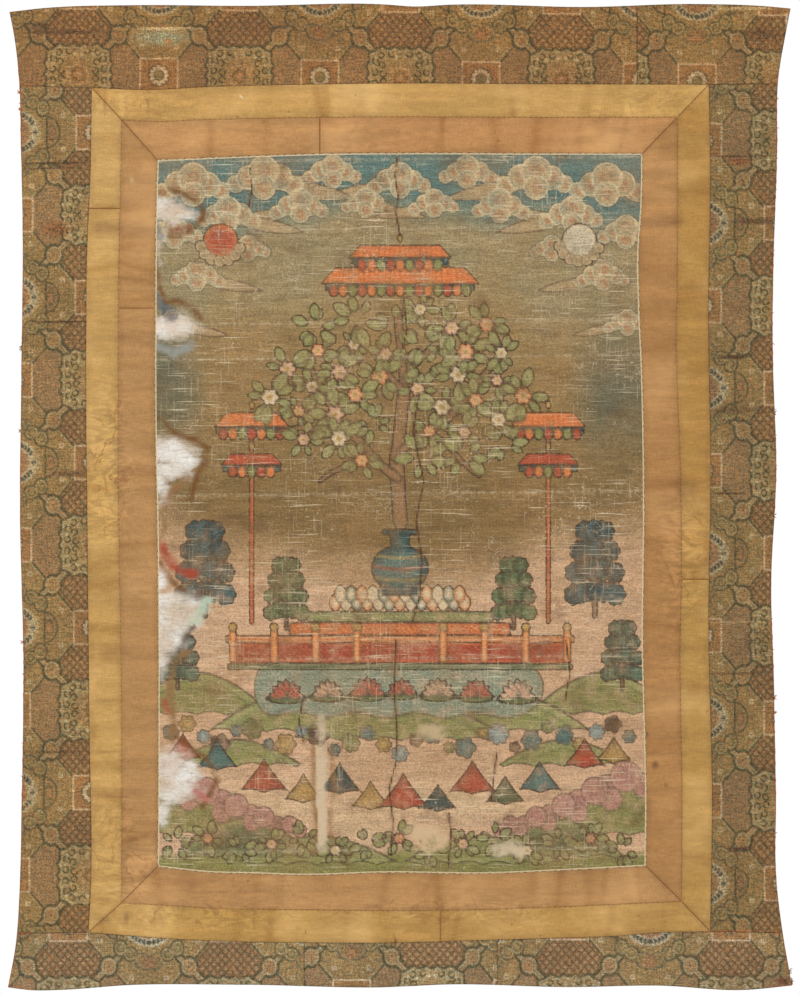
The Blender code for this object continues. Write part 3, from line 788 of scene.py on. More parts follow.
def awning(coat, at, half, tall, colour, pole=0):
    """A canopy: a slanting roof of patterned cloth over a valance of triangles and scallops, on a pole."""
    def roof(x, z):
        return np.maximum(np.abs(x) - half + np.clip(z, 0, tall) * 0.9, np.abs(z - tall / 2) - tall / 2)

    def stripes(x, z):
        return np.where(roof(x, z) < -2.5, centred(x, 6), FAR)

    def zigzag(x, z):
        return np.where(box(x, z, half * 0.92, 3.6) < 0, z - np.abs(centred(x, 10)) * 1.3 + 3.2, FAR)

    if pole:
        coat.draw(at, pole + 10, limb((0, -pole), (0, 0), 2.6), RED, ORANGE, 3)
    reach, band = half + 20, (at[0], at[1] - 4)
    coat.draw(at, reach, roof, colour, dimmed(colour, 1.05), 8)
    coat.stroke(at, reach, stripes, 0.8, RED, 0.7)
    coat.draw(band, reach, panel_of(half * 0.94, 4), DEEP_BLUE, outline=1)
    coat.stroke(band, reach, zigzag, 1.3, WHITE, 0.6)
    count = int(half * 1.8 / 11)
    for step in range(count):
        drop = (at[0] + (step - (count - 1) / 2) * 11, at[1] - 8)
        coat.draw(drop, 20, oval(5.2, 7), (RED, ORANGE, LEAF_GREEN)[step % 3], outline=1)
    coat.draw((at[0], at[1] + tall + 3), 20, petal(11, 6), OCHRE)


def ground_colour(x, z):
    """Sky, the brown field and the rosy plain, run into each other."""
    sway = 12 * np.sin(x / 41) + 9 * np.sin(x / 17 + 1)
    colour = blend(EARTH, FIELD, (z + 20) / 260)
    colour = blend(colour, PEACH, (z - 225 - sway + 0.2 * np.abs(x)) / 60)
    colour = blend(colour, SKY_TOP, 0.9 * (z - 335 + 0.7 * sway + 0.12 * np.abs(x)) / 36)
    flank = np.exp(-(((z - 140 + sway) / 66) ** 2)) * np.clip((np.abs(x + 14) - 205) / 40, 0, 1)
    colour = blend(colour, DEEP_SKY, 0.52 * flank)
    colour = blend(colour, ROSY, (-50 - z - 0.5 * sway + 0.25 * np.abs(x)) / 70)
    colour = blend(colour, SAND, 0.6 * np.exp(-(((z + 345 - sway) / 24) ** 2 + (x / 190) ** 4)))
    return blend(colour, GRASS, (-392 - z + 0.4 * sway) / 12)


# Columns: across, up, size, lean. Both sides have one of each unless it stands at 0.
CLOUDS = ((0, 378, 15, 1), (78, 388, 14, -1), (158, 380, 18, 1), (240, 372, 18, -1), (116, 348, 14, -1),
          (200, 338, 15, 1), (262, 318, 14, -1), (40, 352, 12, 1), (236, 268, 13, 1), (176, 300, 11, -1),
          (264, 214, 11, 1))
# Columns: across, foot, half width, height, colour. Both sides have one of each unless it stands at 0.
HILLS = ((236, -232, 82, 44, GRASS), (120, -252, 96, 40, LEAF_GREEN), (0, -262, 120, 44, GRASS),
         (190, -292, 70, 26, LEAF_GREEN), (266, -372, 90, 50, GRASS), (96, -406, 88, 28, GRASS),
         (180, -398, 76, 40, DEEP_GREEN))
# Columns: across, up, size. Both sides have one of each.
MISTS = ((262, -318, 18), (226, -334, 16), (190, -350, 14), (158, -362, 12), (128, -370, 10))
# Columns: start and end from the tree's foot, half width
BOUGHS = (((0, -14), (-4, 60), 8.5), ((-4, 60), (5, 140), 7), ((5, 140), (-3, 230), 5),
          ((-3, 36), (-66, 96), 5), ((-66, 96), (-112, 176), 3.6), ((-66, 96), (-138, 92), 3.2),
          ((2, 70), (70, 118), 5), ((70, 118), (118, 186), 3.6), ((70, 118), (142, 104), 3.2),
          ((2, 140), (-52, 206), 3.6), ((4, 150), (58, 214), 3.6), ((-34, 66), (-92, 34), 3),
          ((36, 90), (92, 40), 3))
# Columns: across, size, outer colour, inner colour
LOTUSES = ((-132, 20, ROSE, RED), (136, 21, WHITE, ROSE), (-84, 18, WHITE, ROSE), (88, 19, ROSE, RED),
           (-38, 20, ROSE, RED), (44, 19, WHITE, ROSE), (2, 17, ROSE, RED))
# Columns: across, up, size, colour
JEWELS = ((-158, -322, 23, RED), (-112, -334, 19, OCHRE), (-70, -324, 21, DEEP_BLUE), (84, -324, 23, RED),
          (122, -336, 19, DEEP_GREEN), (162, -322, 21, BLUE), (-34, -342, 19, OCHRE), (4, -342, 25, RED),
          (44, -344, 18, DEEP_BLUE), (-212, -296, 20, BLUE), (214, -294, 20, RED), (248, -288, 17, OCHRE),
          (-252, -286, 18, RED))
# Columns: height of its middle, half width, height, colour, colour of its lines
TERRACE = ((-166, 196, 24, RED, ORANGE), (-150, 202, 8, ORANGE, WHITE), (-182, 200, 7, DEEP_GREEN, WHITE),
           (-138, 128, 14, ORANGE, RED), (-124, 108, 12, TILE, DEEP_GREEN))
POND_AT = (0, -206)


def pond(x, z):
    return box(x, z, 168, 32, 30) + 3 * np.sin(x / 11)


def pond_waves(x, z):
    row = np.floor(z / 9)
    ring = np.hypot(centred(x + 9 * (row % 2), 18), (z - row * 9) * 1.3)
    return np.where(pond(x, z) < -6, (ring + 1.5) % 4.4 - 2.2, FAR)


def vase(x, z):
    body = np.minimum(ellipse(x, z - 26, 33, 27), box(x, z + 1, 20, 4))
    neck = np.minimum(box(x, z - 56, 11 + 0.012 * (z - 56) ** 2, 10), box(x, z - 68, 21, 3, 2))
    return np.minimum(body, neck)


def both_sides(across):
    return (-1, 1) if across else (1,)


def paint_middle(coat):
    """Sky, hills, rocks, the pond and mist."""
    for across, up, size, lean in CLOUDS:
        for side in both_sides(across):
            cloud(coat, (side * across, up), size, side * lean)
    for across, foot, half, tall, green in HILLS:
        for side in both_sides(across):
            at = (side * across, foot)
            coat.draw(at, 150, peak(half, tall, 1.8), HILL_LIGHT, green, 9, outline=1.5)
            for share in (0.8, 0.55):
                coat.stroke(at, 150, peak(half * share, tall * share, 1.8), 1, DEEP_GREEN, 0.5)
    for step in range(29):
        at = (-266 + step * 19, -272 + 11 * np.sin(step * 1.7) + abs(step - 14))
        size = 10 + 3 * np.sin(step * 2.9)
        colour = (BLUE, OCHRE, STONE, UMBER_ROCK, BLUE, GRASS)[step % 6]
        coat.draw(at, size * 2, bloom(size, 5 + step % 3, 0.25), dimmed(colour, 0.85), colour, size * 0.5)
        coat.stroke(at, size * 2, bloom(size * 0.55, 5, 0.3), 1, DEEP_BLUE, 0.5)
    coat.draw(POND_AT, 200, pond, SHORE, WATER, 5, outline=1.6)
    coat.stroke(POND_AT, 200, pond_waves, 0.9, WAVE, 0.6)
    for across, up, size in MISTS:
        for side in (-1, 1):
            for out, rise, part in ((-1.2, -0.2, 0.8), (1.2, -0.1, 0.8), (0, 0.5, 1)):
                at = (side * (across + out * size), up + rise * size)
                coat.draw(at, 50, disc(size * part), MIST_EDGE, MIST, size * 0.6, outline=0.8)


def paint_front(coat):
    """The terrace with the vase and its tree, canopies, trees, flowers, jewels, sun and moon."""
    for foot, half, tall, colour, line in TERRACE:
        coat.draw((0, foot), half + 10, panel_of(half, tall / 2), colour)
        coat.stroke((0, foot), half + 10, lattice(half - 3, tall / 2 - 3, 7), 0.9, dimmed(colour, 0.6), 0.7)
        coat.stroke((0, foot), half + 10, panel_of(half - 2, tall / 2 - 2), 1.1, line, 0.7)
    for side in (-1, 1):
        for step in range(4):
            across = side * (50 + step * 48)
            coat.draw((across, -158), 40, panel_of(4, 19, 1.5), ORANGE, POST, 3)
            coat.draw((across, -136), 20, disc(5), OCHRE)
        awning(coat, (side * 172, 96), 44, 17, ORANGE, pole=226)
        awning(coat, (side * 172, 52), 36, 13, RED)
        stacked_tree(coat, (side * 226, -62), 36, DEEP_BLUE)
        stacked_tree(coat, (side * 132, -92), 27, DEEP_GREEN)
        stacked_tree(coat, (side * 258, -164), 26, PINE)
    for start, end, thick in BOUGHS:
        middle = ((start[0] + end[0]) / 2, (start[1] + end[1]) / 2)
        ends = [(point[0] - middle[0], point[1] - middle[1]) for point in (start, end)]
        coat.draw(middle, 90, limb(*ends, thick, 2), BARK, BARK_LIGHT, 4)
    for step in range(40):
        reach = np.sqrt((step + 0.7) / 40)
        across = 154 * reach * np.cos(GOLDEN_TURN * step)
        up = 140 + 104 * reach * np.sin(GOLDEN_TURN * step)
        if abs(across) > 26 or up > 120:
            blossom = (ROSE, ORANGE, WHITE)[step % 3] if step % 4 != 3 else None
            spray(coat, (across, up), 22 + 4 * np.sin(step * 1.7), 7, step * 0.7, blossom)
    awning(coat, (0, 262), 92, 19, ORANGE)
    awning(coat, (0, 292), 60, 15, ORANGE)
    for row, count, width, up in ((0, 13, 150, -118), (1, 12, 138, -108)):
        for step in range(count):
            colour = (ORANGE, WHITE, BLUE)[(step + row) % 3]
            coat.draw(((step / (count - 1) - 0.5) * width, up), 30, petal(21, 14), colour, WHITE, 5, 1)
    coat.draw((0, -94), 90, vase, DEEP_BLUE, BLUE, 12, 1.6)
    for up, colour in ((12, OCHRE), (38, OCHRE), (25, RED)):
        girdle = lambda x, z: np.where(np.abs(x) < 30, z - 0.004 * x * x, FAR)
        coat.stroke((0, up - 94), 60, girdle, 2.4, colour, 0.9)
    for across, size, colour, inner in LOTUSES:
        lotus(coat, (across, -212 - abs(across) * 0.03), size, colour, inner)
    for across, up, size, colour in JEWELS:
        jewel(coat, (across, up), size, colour)
    for step in range(15):
        at = (-260 + step * 37, -388 + 8 * np.sin(step * 2.1))
        spray(coat, at, 17, 7, step * 0.9, (ROSE, RED, WHITE)[step % 3] if step % 2 else None)
    for side, colour, inner in ((-1, ORANGE, RED), (1, WHITE, MOON_SHADE)):
        coat.draw((side * 208, 312), 40, disc(20), colour, inner, 8, 2)
        for step in range(7):
            angle = 3.4 + step * 0.42
            puff = (side * 208 + 24 * np.cos(angle), 312 + 24 * np.sin(angle))
            coat.draw(puff, 20, disc(6.5), CLOUD_EDGE, CLOUD, 3, 0.7)


def linear(colour):
    """Display values from 0 to 255 as linear light."""
    part = np.clip(np.asarray(colour, dtype=float) / 255, 0, 1)
    return np.where(part <= 0.04045, part / 12.92, ((part + 0.055) / 1.055) ** 2.4)


def tone(*display):
    return tuple(float(value) for value in linear(display))


# Where a colour mix reads how much, the first and the second colour, and gives its own
MIX_INPUTS, MIX_OUTPUT = (0, 6, 7), 2


class Finish:
    """A material whose nodes are added from what they read, with the colour that they give so far.

    It starts from a dye, which is a tone or the name of the colour kept with the cloth.
    """

    def __init__(self, name, roughness, dye, sheen=0):
        self.material = bpy.data.materials.new(name)
        self.material.use_nodes = True
        self.tree = self.material.node_tree
        self.surface = self.tree.nodes["Principled BSDF"]
        self.surface.inputs["Sheen Weight"].default_value = sheen
        self.surface.inputs["Sheen Roughness"].default_value = 0.45
        self.surface.inputs["Specular IOR Level"].default_value = 0.15
        self.surface.inputs["Roughness"].default_value = roughness
        self.place = self.tree.nodes.new("ShaderNodeTexCoord").outputs["Object"]
        self.colour = self.read(dye, "Color") if isinstance(dye, str) else dye

    def put(self, socket, value):
        if isinstance(value, bpy.types.NodeSocket):
            self.tree.links.new(value, socket)
        else:
            socket.default_value = value

    def add(self, kind, inputs, output=0, **settings):
        node = self.tree.nodes.new("ShaderNode" + kind)
        for key, value in settings.items():
            setattr(node, key, value)
        for key, value in inputs.items():
            self.put(node.inputs[key], value)
        return node.outputs[output]

    def read(self, name, output="Fac"):
        return self.add("Attribute", {}, output, attribute_name=name)

    def math(self, operation, first, second=0):
        return self.add("Math", {0: first, 1: second}, operation=operation)

    def plus(self, first, second):
        return self.math("ADD", first, second)

    def minus(self, first, second):
        return self.math("SUBTRACT", first, second)

    def times(self, first, second):
        return self.math("MULTIPLY", first, second)

    def about(self, noise, reach):
        """Noise from 0 to 1 as a number about 0."""
        return self.times(self.minus(noise, 0.5), reach)

    def vector(self, operation, first, second):
        return self.add("VectorMath", {0: first, 1: second}, operation=operation)

    def scaled(self, vector, factor):
        return self.add("VectorMath", {0: vector, "Scale": factor}, operation="SCALE")

    def stretched(self, stretch, shift):
        """Places in the frame, with lengths across and up stretched."""
        scaled = self.vector("MULTIPLY", self.place, (stretch[0], 1, stretch[1]))
        return self.vector("ADD", scaled, (shift,) * 3)

    def noise(self, scale, detail=2, shift=0, stretch=(1, 1), distortion=0):
        """Noise from 0 to 1 about 0.5. Stretch is how much finer it is across and up."""
        inputs = {"Vector": self.stretched(stretch, shift), "Scale": scale, "Detail": detail}
        return self.add("TexNoise", {**inputs, "Distortion": distortion})

    def cracks(self, scale, stretch, shift, wander):
        """Distance to the edge of random cells, with edges that wander."""
        at = self.stretched(stretch, shift)
        bend = self.add("TexNoise", {"Vector": at, "Scale": scale * 1.5, "Detail": 3}, output=1)
        bend = self.scaled(self.vector("SUBTRACT", bend, (0.5, 0.5, 0.5)), wander / scale)
        inputs = {"Vector": self.vector("ADD", at, bend), "Scale": scale}
        return self.add("TexVoronoi", inputs, feature="DISTANCE_TO_EDGE")

    def step(self, value, low, high, bottom=0, top=1):
        """Runs from bottom to top, or back where low is over high, as the value passes from low to high."""
        inputs = {"Value": value, "From Min": low, "From Max": high, "To Min": bottom, "To Max": top}
        return self.add("MapRange", inputs, interpolation_type="SMOOTHSTEP")

    def lay(self, part, colour):
        """Lays this part of a colour, from a socket or as a tone, over the last one."""
        mix = self.tree.nodes.new("ShaderNodeMix")
        mix.data_type = "RGBA"
        for place, value in zip(MIX_INPUTS, (part, self.colour, colour)):
            self.put(mix.inputs[place], (*value, 1) if isinstance(value, tuple) else value)
        self.colour = mix.outputs[MIX_OUTPUT]

    def tint(self, value, low, high, most, colour, least=0):
        """Lays a colour, from least to most of it as the value passes from low to high."""
        self.lay(self.step(value, low, high, least, most), colour)

    def vary(self, value, bottom, top, low=0.3, high=0.7):
        """Dims or lightens the colour, from bottom to top as the value passes from low to high."""
        self.colour = self.scaled(self.colour, self.step(value, low, high, bottom, top))

    def finish(self, height=None, relief=0, roughness=None):
        self.put(self.surface.inputs["Base Color"], self.colour)
        if roughness is not None:
            self.put(self.surface.inputs["Roughness"], roughness)
        if height is not None:
            bump = self.add("Bump", {"Height": height, "Distance": relief, "Strength": 1})
            self.put(self.surface.inputs["Normal"], bump)
        return self.material


def brocade_finish():
    """Woven silk: coloured threads that show as speckle and streaks, painted shade in the seams, and soft
    wear.
    """
    shade = Finish("brocade_weave", 0.72, "dye", sheen=0.02)
    speckle = shade.noise(640)
    weft, warp = shade.noise(1, 2, 3, (75, 640)), shade.noise(1, 1.5, 9, (620, 70))
    shade.vary(speckle, 0.52, 1.46, 0.27, 0.73)
    shade.vary(weft, 0.76, 1.22)
    shade.vary(warp, 0.88, 1.12)
    hue = shade.noise(330, 2, 5)
    shade.tint(hue, 0.5, 0.70, 0.42, tone(158, 108, 60))
    shade.tint(hue, 0.48, 0.30, 0.42, tone(104, 96, 66))
    rubbed = shade.noise(16, 5, 2)
    shade.vary(rubbed, 0.86, 1.14, 0.25, 0.75)
    shade.tint(shade.noise(7, 6, 11, (1, 2.2)), 0.56, 0.76, 0.42, tone(96, 66, 44))
    # painted shade in the seams: the weave darker within 1.6 mm of each edge
    shade.vary(shade.read("edge_mm"), 0.55, 1, 0, 1.6)
    height = shade.plus(shade.plus(speckle, shade.times(warp, 0.7)), shade.times(weft, 0.7))
    return shade.finish(height, 0.00030, shade.step(rubbed, 0.3, 0.7, 0.62, 0.8))


def silk_finish(name, worn, stain):
    """Plain woven silk: fine ribs, faint watered bands and soft stains, with painted shade in the seams,
    along the edges and in small wrinkles.
    """
    shade = Finish(name, 0.6, "dye", sheen=0.08)
    rib, warp = shade.noise(1, 1, 4, (90, 900)), shade.noise(1, 1, 6, (900, 120))
    shade.vary(rib, 0.93, 1.07)
    shade.vary(warp, 0.94, 1.06)
    shade.vary(shade.noise(780, 1, 1), 0.93, 1.07)
    cloudy = shade.noise(9, 6, 8)
    shade.tint(cloudy, 0.46, 0.72, 0.5, worn)
    shade.vary(shade.noise(1, 5, 12, (7, 52), 0.8), 1.08, 0.90)
    shade.vary(shade.noise(1, 4, 17, (26, 150), 1.6), 1.05, 0.94, 0.32, 0.68)
    soil = shade.noise(22, 6, 21)
    shade.tint(soil, 0.60, 0.78, 0.5, stain)
    # tide lines of old damp, and the painted shade and highlight of watered wrinkles where the weave has
    # slipped
    tide = shade.math("ABSOLUTE", shade.minus(shade.noise(15, 4, 57, distortion=0.7), 0.5))
    damp = shade.plus(shade.read("watered"), shade.step(shade.noise(4, 3, 63), 0.52, 0.66, 0, 0.5))
    shade.lay(shade.times(shade.step(tide, 0.016, 0, 0, 0.5), damp), stain)
    wrinkle_shade = shade.step(shade.noise(1, 4, 77, (30, 62), 3), 0.36, 0.64, -0.12, 0.12)
    shade.colour = shade.scaled(shade.colour, shade.plus(shade.times(wrinkle_shade, damp), 1))
    shade.tint(shade.noise(150, 3, 31), 0.70, 0.77, 0.6, tone(120, 78, 44))
    # painted shade: a warm brown line in the seams, and the cloth darker within 8 mm of its edges, raggedly
    edge = shade.read("edge_mm")
    depth = shade.times(shade.read("seam_shade"), shade.step(shade.noise(5, 3, 71), 0.40, 0.60, 0.6, 1))
    shade.tint(edge, 1.3, 0.2, depth, tone(122, 74, 30))
    shade.vary(shade.plus(edge, shade.step(soil, 0.3, 0.7, 3, -3)), 0.87, 1, 0, 8)
    height = shade.plus(rib, shade.times(warp, 0.8))
    height = shade.plus(height, shade.times(shade.noise(42, 3, 41), 1.2))
    return shade.finish(height, 0.00022, shade.step(cloudy, 0.3, 0.7, 0.5, 0.68))


def painted_finish():
    """Distemper on sized cotton: coats of drawing, rubbed along the threads, stained and lost in places."""
    shade = Finish("painted_cotton", 0.85, "ground")
    wander = shade.about(shade.noise(420, 2, 2), 1.8)
    rubbed, broken = shade.noise(60, 6, 14), shade.noise(210, 4, 17)
    shade.vary(shade.noise(1, 4, 19, (14, 110), 0.5), 0.86, 1.14)
    for coat, ink in (("middle", 0.5), ("front", 0.8)):
        edge = shade.plus(shade.read(coat + "_edge"), wander)
        thin = shade.step(rubbed, 0.44, 0.70, 0.97, 0.62)
        shade.lay(shade.times(shade.step(edge, 0.45, -0.45), thin), shade.read(coat, "Color"))
        line = shade.step(shade.math("ABSOLUTE", edge), 1.1, 0.4)
        shade.lay(shade.times(line, shade.step(broken, 0.32, 0.5, 0.15, ink)), tone(48, 34, 26))
    # a brown film over all, uneven and warmer where the cloth was handled
    film = shade.noise(13, 6, 22)
    shade.tint(film, 0.38, 0.72, 0.36, tone(146, 112, 74), least=0.05)
    grain, weft, dirt = shade.noise(560, 2, 7), shade.noise(1, 2, 3, (60, 760)), shade.noise(26, 7, 61)
    shade.vary(grain, 0.77, 1.23, 0.28, 0.72)
    shade.vary(weft, 0.86, 1.14)
    shade.tint(dirt, 0.54, 0.74, 0.5, tone(92, 68, 44))
    # rubbed threads and scratches down to the pale ground, in worn areas
    worn = shade.noise(11, 5, 51)
    level = shade.step(shade.noise(1, 3, 5, (22, 500)), 0.58, 0.68)
    shade.lay(shade.times(level, shade.step(worn, 0.40, 0.60, 0.08, 0.62)), tone(204, 188, 156))
    upright = shade.step(shade.noise(1, 3, 9, (460, 24)), 0.58, 0.68)
    shade.lay(shade.times(upright, shade.step(worn, 0.42, 0.62, 0.05, 0.36)), tone(196, 178, 146))
    flakes = shade.minus(shade.noise(330, 5, 44), shade.step(worn, 0.42, 0.66, 0.03, -0.05))
    shade.tint(flakes, 0.67, 0.71, 0.5, tone(198, 182, 152))
    # fine cracks, and paint lost on the creases
    net = shade.cracks(120, (0.7, 1.3), 3, 0.6)
    seen = shade.times(shade.step(shade.noise(20, 3, 71), 0.50, 0.66), 0.45)
    shade.lay(shade.times(shade.step(net, 0.030, 0.008), seen), tone(196, 178, 148))
    crease = shade.times(shade.read("crease"), shade.step(broken, 0.42, 0.62, 0.05, 0.36))
    shade.lay(crease, tone(196, 178, 146))
    # damp has lifted the paint in patches, and left smears and brown tide lines round them
    torn = shade.about(broken, 8)
    ragged = shade.plus(shade.about(shade.noise(1, 6, 27, (34, 62), 0.9), 26), torn)
    bare = shade.plus(shade.read("bare"), ragged)
    painted, shade.colour = shade.colour, tone(212, 208, 200)
    shade.tint(dirt, 0.35, 0.68, 1, tone(188, 174, 156))
    shade.tint(shade.noise(18, 5, 83), 0.46, 0.62, 0.55, tone(186, 160, 132))
    shade.tint(shade.noise(1, 5, 91, (50, 150)), 0.58, 0.70, 0.6, tone(136, 136, 134))
    shade.vary(weft, 0.90, 1.05)
    shade.tint(net, 0.03, 0.01, 0.35, tone(120, 110, 104))
    gesso, shade.colour = shade.colour, painted
    shade.tint(bare, 7, -7, 0.96, gesso)
    smear = shade.plus(shade.read("smear_edge"), shade.times(ragged, 0.42))
    smear = shade.times(shade.step(smear, 4.2, -4), shade.step(rubbed, 0.34, 0.58, 0.40, 0.92))
    shade.lay(smear, shade.read("smear", "Color"))
    crack = shade.plus(shade.read("crack"), shade.times(torn, 0.35))
    soaked = shade.times(shade.step(crack, 6, 0.5), shade.step(rubbed, 0.42, 0.6, 0, 0.45))
    shade.lay(soaked, tone(104, 74, 44))
    split = shade.times(shade.step(crack, 1.7, 0.5), shade.step(broken, 0.34, 0.5, 0.3, 0.9))
    shade.lay(split, tone(60, 40, 26))
    # the turned edge of bare cotton, and painted shade where it turns into the seam
    edge = shade.read("edge_mm")
    shade.tint(edge, 1.9, 1.2, 1, tone(208, 186, 148))
    shade.vary(edge, 0.4, 1, 0, 1)
    height = shade.plus(grain, shade.times(weft, 0.9))
    height = shade.minus(height, shade.step(net, 0.04, 0, 0, 0.5))
    height = shade.minus(height, shade.step(bare, 1, -1))
    return shade.finish(height, 0.00025, shade.step(film, 0.3, 0.7, 0.76, 0.9))


def reverse_finish(name, colour, soiled):
    """The back of a cloth: its weave, dulled, with soft stains."""
    shade = Finish(name, 0.85, colour)
    weft, warp = shade.noise(1, 2, 3, (90, 800)), shade.noise(1, 2, 5, (800, 90))
    shade.tint(shade.noise(12, 6, 7), 0.40, 0.75, 0.45, soiled)
    shade.vary(weft, 0.88, 1.1)
    shade.vary(warp, 0.9, 1.1)
    return shade.finish(shade.plus(weft, warp), 0.0003)


def thread_finish(name, colour, dark):
    """Spun thread: short twisted streaks of two shades."""
    shade = Finish(name, 0.75, colour, sheen=0.1)
    twist = shade.noise(900, 2, 3, distortion=0.8)
    shade.tint(twist, 0.35, 0.65, 1, dark)
    return shade.finish(twist, 0.0002)


# Stains and tears seen on the cloth, as soft spots in mm. The thin dark lines along the creases are painted
# crease shade with dirt in it, and the narrow upright streaks at the top left of the yellow silk are painted
# shade of its puckers.
Mark = namedtuple("Mark", "x z half_x half_z colour strength")
DARK, RUST, PALE, UMBER, MEND = (62, 42, 30), (116, 66, 38), (196, 172, 122), (98, 66, 40), (208, 176, 124)
BROCADE_STAINS_AND_FOLD_SHADE = rows(
    Mark, (-402, -182.7, 37, 1.3, DARK, 0.85), (-402, -188.5, 34, 1.2, DARK, 0.7),
    (-397, -367, 32, 1.3, DARK, 0.85), (-398, -259, 17, 9, RUST, 0.6), (-383, -543, 18, 4, DARK, 0.5),
    (-400, -866, 36, 1.2, DARK, 0.5), (387, -175, 36, 1.4, DARK, 0.7), (394, -181, 13, 5, RUST, 0.7),
    (411, -250, 24, 4, DARK, 0.55), (386, -408, 17, 2.2, DARK, 0.85), (392, -469, 36, 4.5, DARK, 0.35),
    (380, -566, 20, 1.4, DARK, 0.7), (390, -715, 38, 1.2, PALE, 0.4), (390, -775, 36, 1.4, DARK, 0.5),
    (394, -978, 13, 2.4, DARK, 0.85), (-388, -31, 52, 1.8, DARK, 0.6), (-418, -26, 14, 6, DARK, 0.35),
    (418, -34, 24, 7, DARK, 0.45),
    # a repair patch at the top left
    (-277, -37, 32, 9.5, (150, 142, 106), 0.95), (-272, -27, 36, 1.8, MEND, 0.9),
    (-269, -42, 4, 4, (176, 118, 72), 0.9),
    (449, -22, 1.6, 13, (226, 214, 190), 0.85), (400, -3.5, 44, 1.8, (206, 176, 124), 0.7),
    (-6, -1085, 1.3, 6, (112, 50, 34), 0.8), (378, -1073.5, 42, 1, (176, 92, 52), 0.75),
    (444, -1131, 8, 5, (96, 52, 36), 0.7),
)
SILK_STAINS_AND_FOLD_SHADE = rows(
    Mark, (-340, -260, 19, 9, UMBER, 0.34), (-302, -262, 21, 8, UMBER, 0.3), (305, -251, 21, 8, UMBER, 0.32),
    (-342, -113, 1.8, 17, UMBER, 0.3), (-318, -115, 2.2, 18, UMBER, 0.22), (-292, -114, 1.8, 17, UMBER, 0.2),
    (-184, -106, 0.9, 3.2, (236, 220, 190), 0.9), (-311, -202.5, 2, 3.6, (226, 196, 150), 0.6),
    (-317, -1057.5, 3.2, 7, UMBER, 0.55), (-342, -1061, 7, 3, UMBER, 0.3), (-338, -752, 20, 1.6, UMBER, 0.22),
    (-338, -806, 20, 1.6, UMBER, 0.22), (-338, -866, 20, 1.8, UMBER, 0.22), (-338, -918, 20, 1.6, UMBER, 0.2),
    (332, -560, 14, 12, UMBER, 0.25), (-6, -1085, 1.3, 8, (112, 50, 34), 0.8), (296, -881, 4, 5, UMBER, 0.6),
    (309, -905, 2.5, 2.5, UMBER, 0.5), (286, -845, 2.2, 3, UMBER, 0.5),
)
Spot = namedtuple("Spot", "x z half_x half_z")
WATERED = rows(
    Spot, (-338, -545, 22, 110), (-325, -985, 45, 75), (300, -110, 50, 18), (330, -640, 22, 60),
    (-250, -1055, 80, 14), (60, -1050, 120, 14), (-300, -115, 70, 14),
)
ALBEDO = 0.80  # how light the cloth is painted, for the strength of the lamps


def stained_and_fold_shaded(colour, x, z, stains_and_fold_shade):
    """The colour under stains and painted fold shade, which are full to half their reach and fade out beyond
    it.
    """
    for stain in stains_and_fold_shade:
        climb = FOLD_CLIMB * (x - stain.x)
        reach = np.hypot((x - stain.x) / stain.half_x, (z - stain.z - climb) / stain.half_z)
        part = (stain.strength * np.clip(1.6 - reach * 1.2, 0, 1))[:, None]
        colour = colour * (1 - part) + np.array(stain.colour) * part
    return colour


def own(obj, node):
    """Says which body a piece belongs to, and which solid it replaces, if any."""
    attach(obj, "root")
    if node:
        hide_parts(node)


def hang(sheet, cut, node, held_by):
    own(sheet.obj, node)
    flat, area = flat_size(cut)
    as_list(held_by)


# Where a medallion's middle falls on each strip of brocade, mm, how far the pattern leans over these
# lengths of it, the strip's cast, and what it hangs on
Strip = namedtuple("Strip", "name cut x z lean_x lean_z cast held_by")
LEAN_X_OVER, LEAN_Z_OVER = 1000, 300
# The red selvedge, mm: how far out from the middle it starts, its width, and the waves of its shade
SELVEDGE_FROM, SELVEDGE_WIDE, SELVEDGE_WAVE = 427, 2, 31
SELVEDGE_RED = (178, 98, 56)
BOTTOM_CAST = (1, 1.05, 1.16)


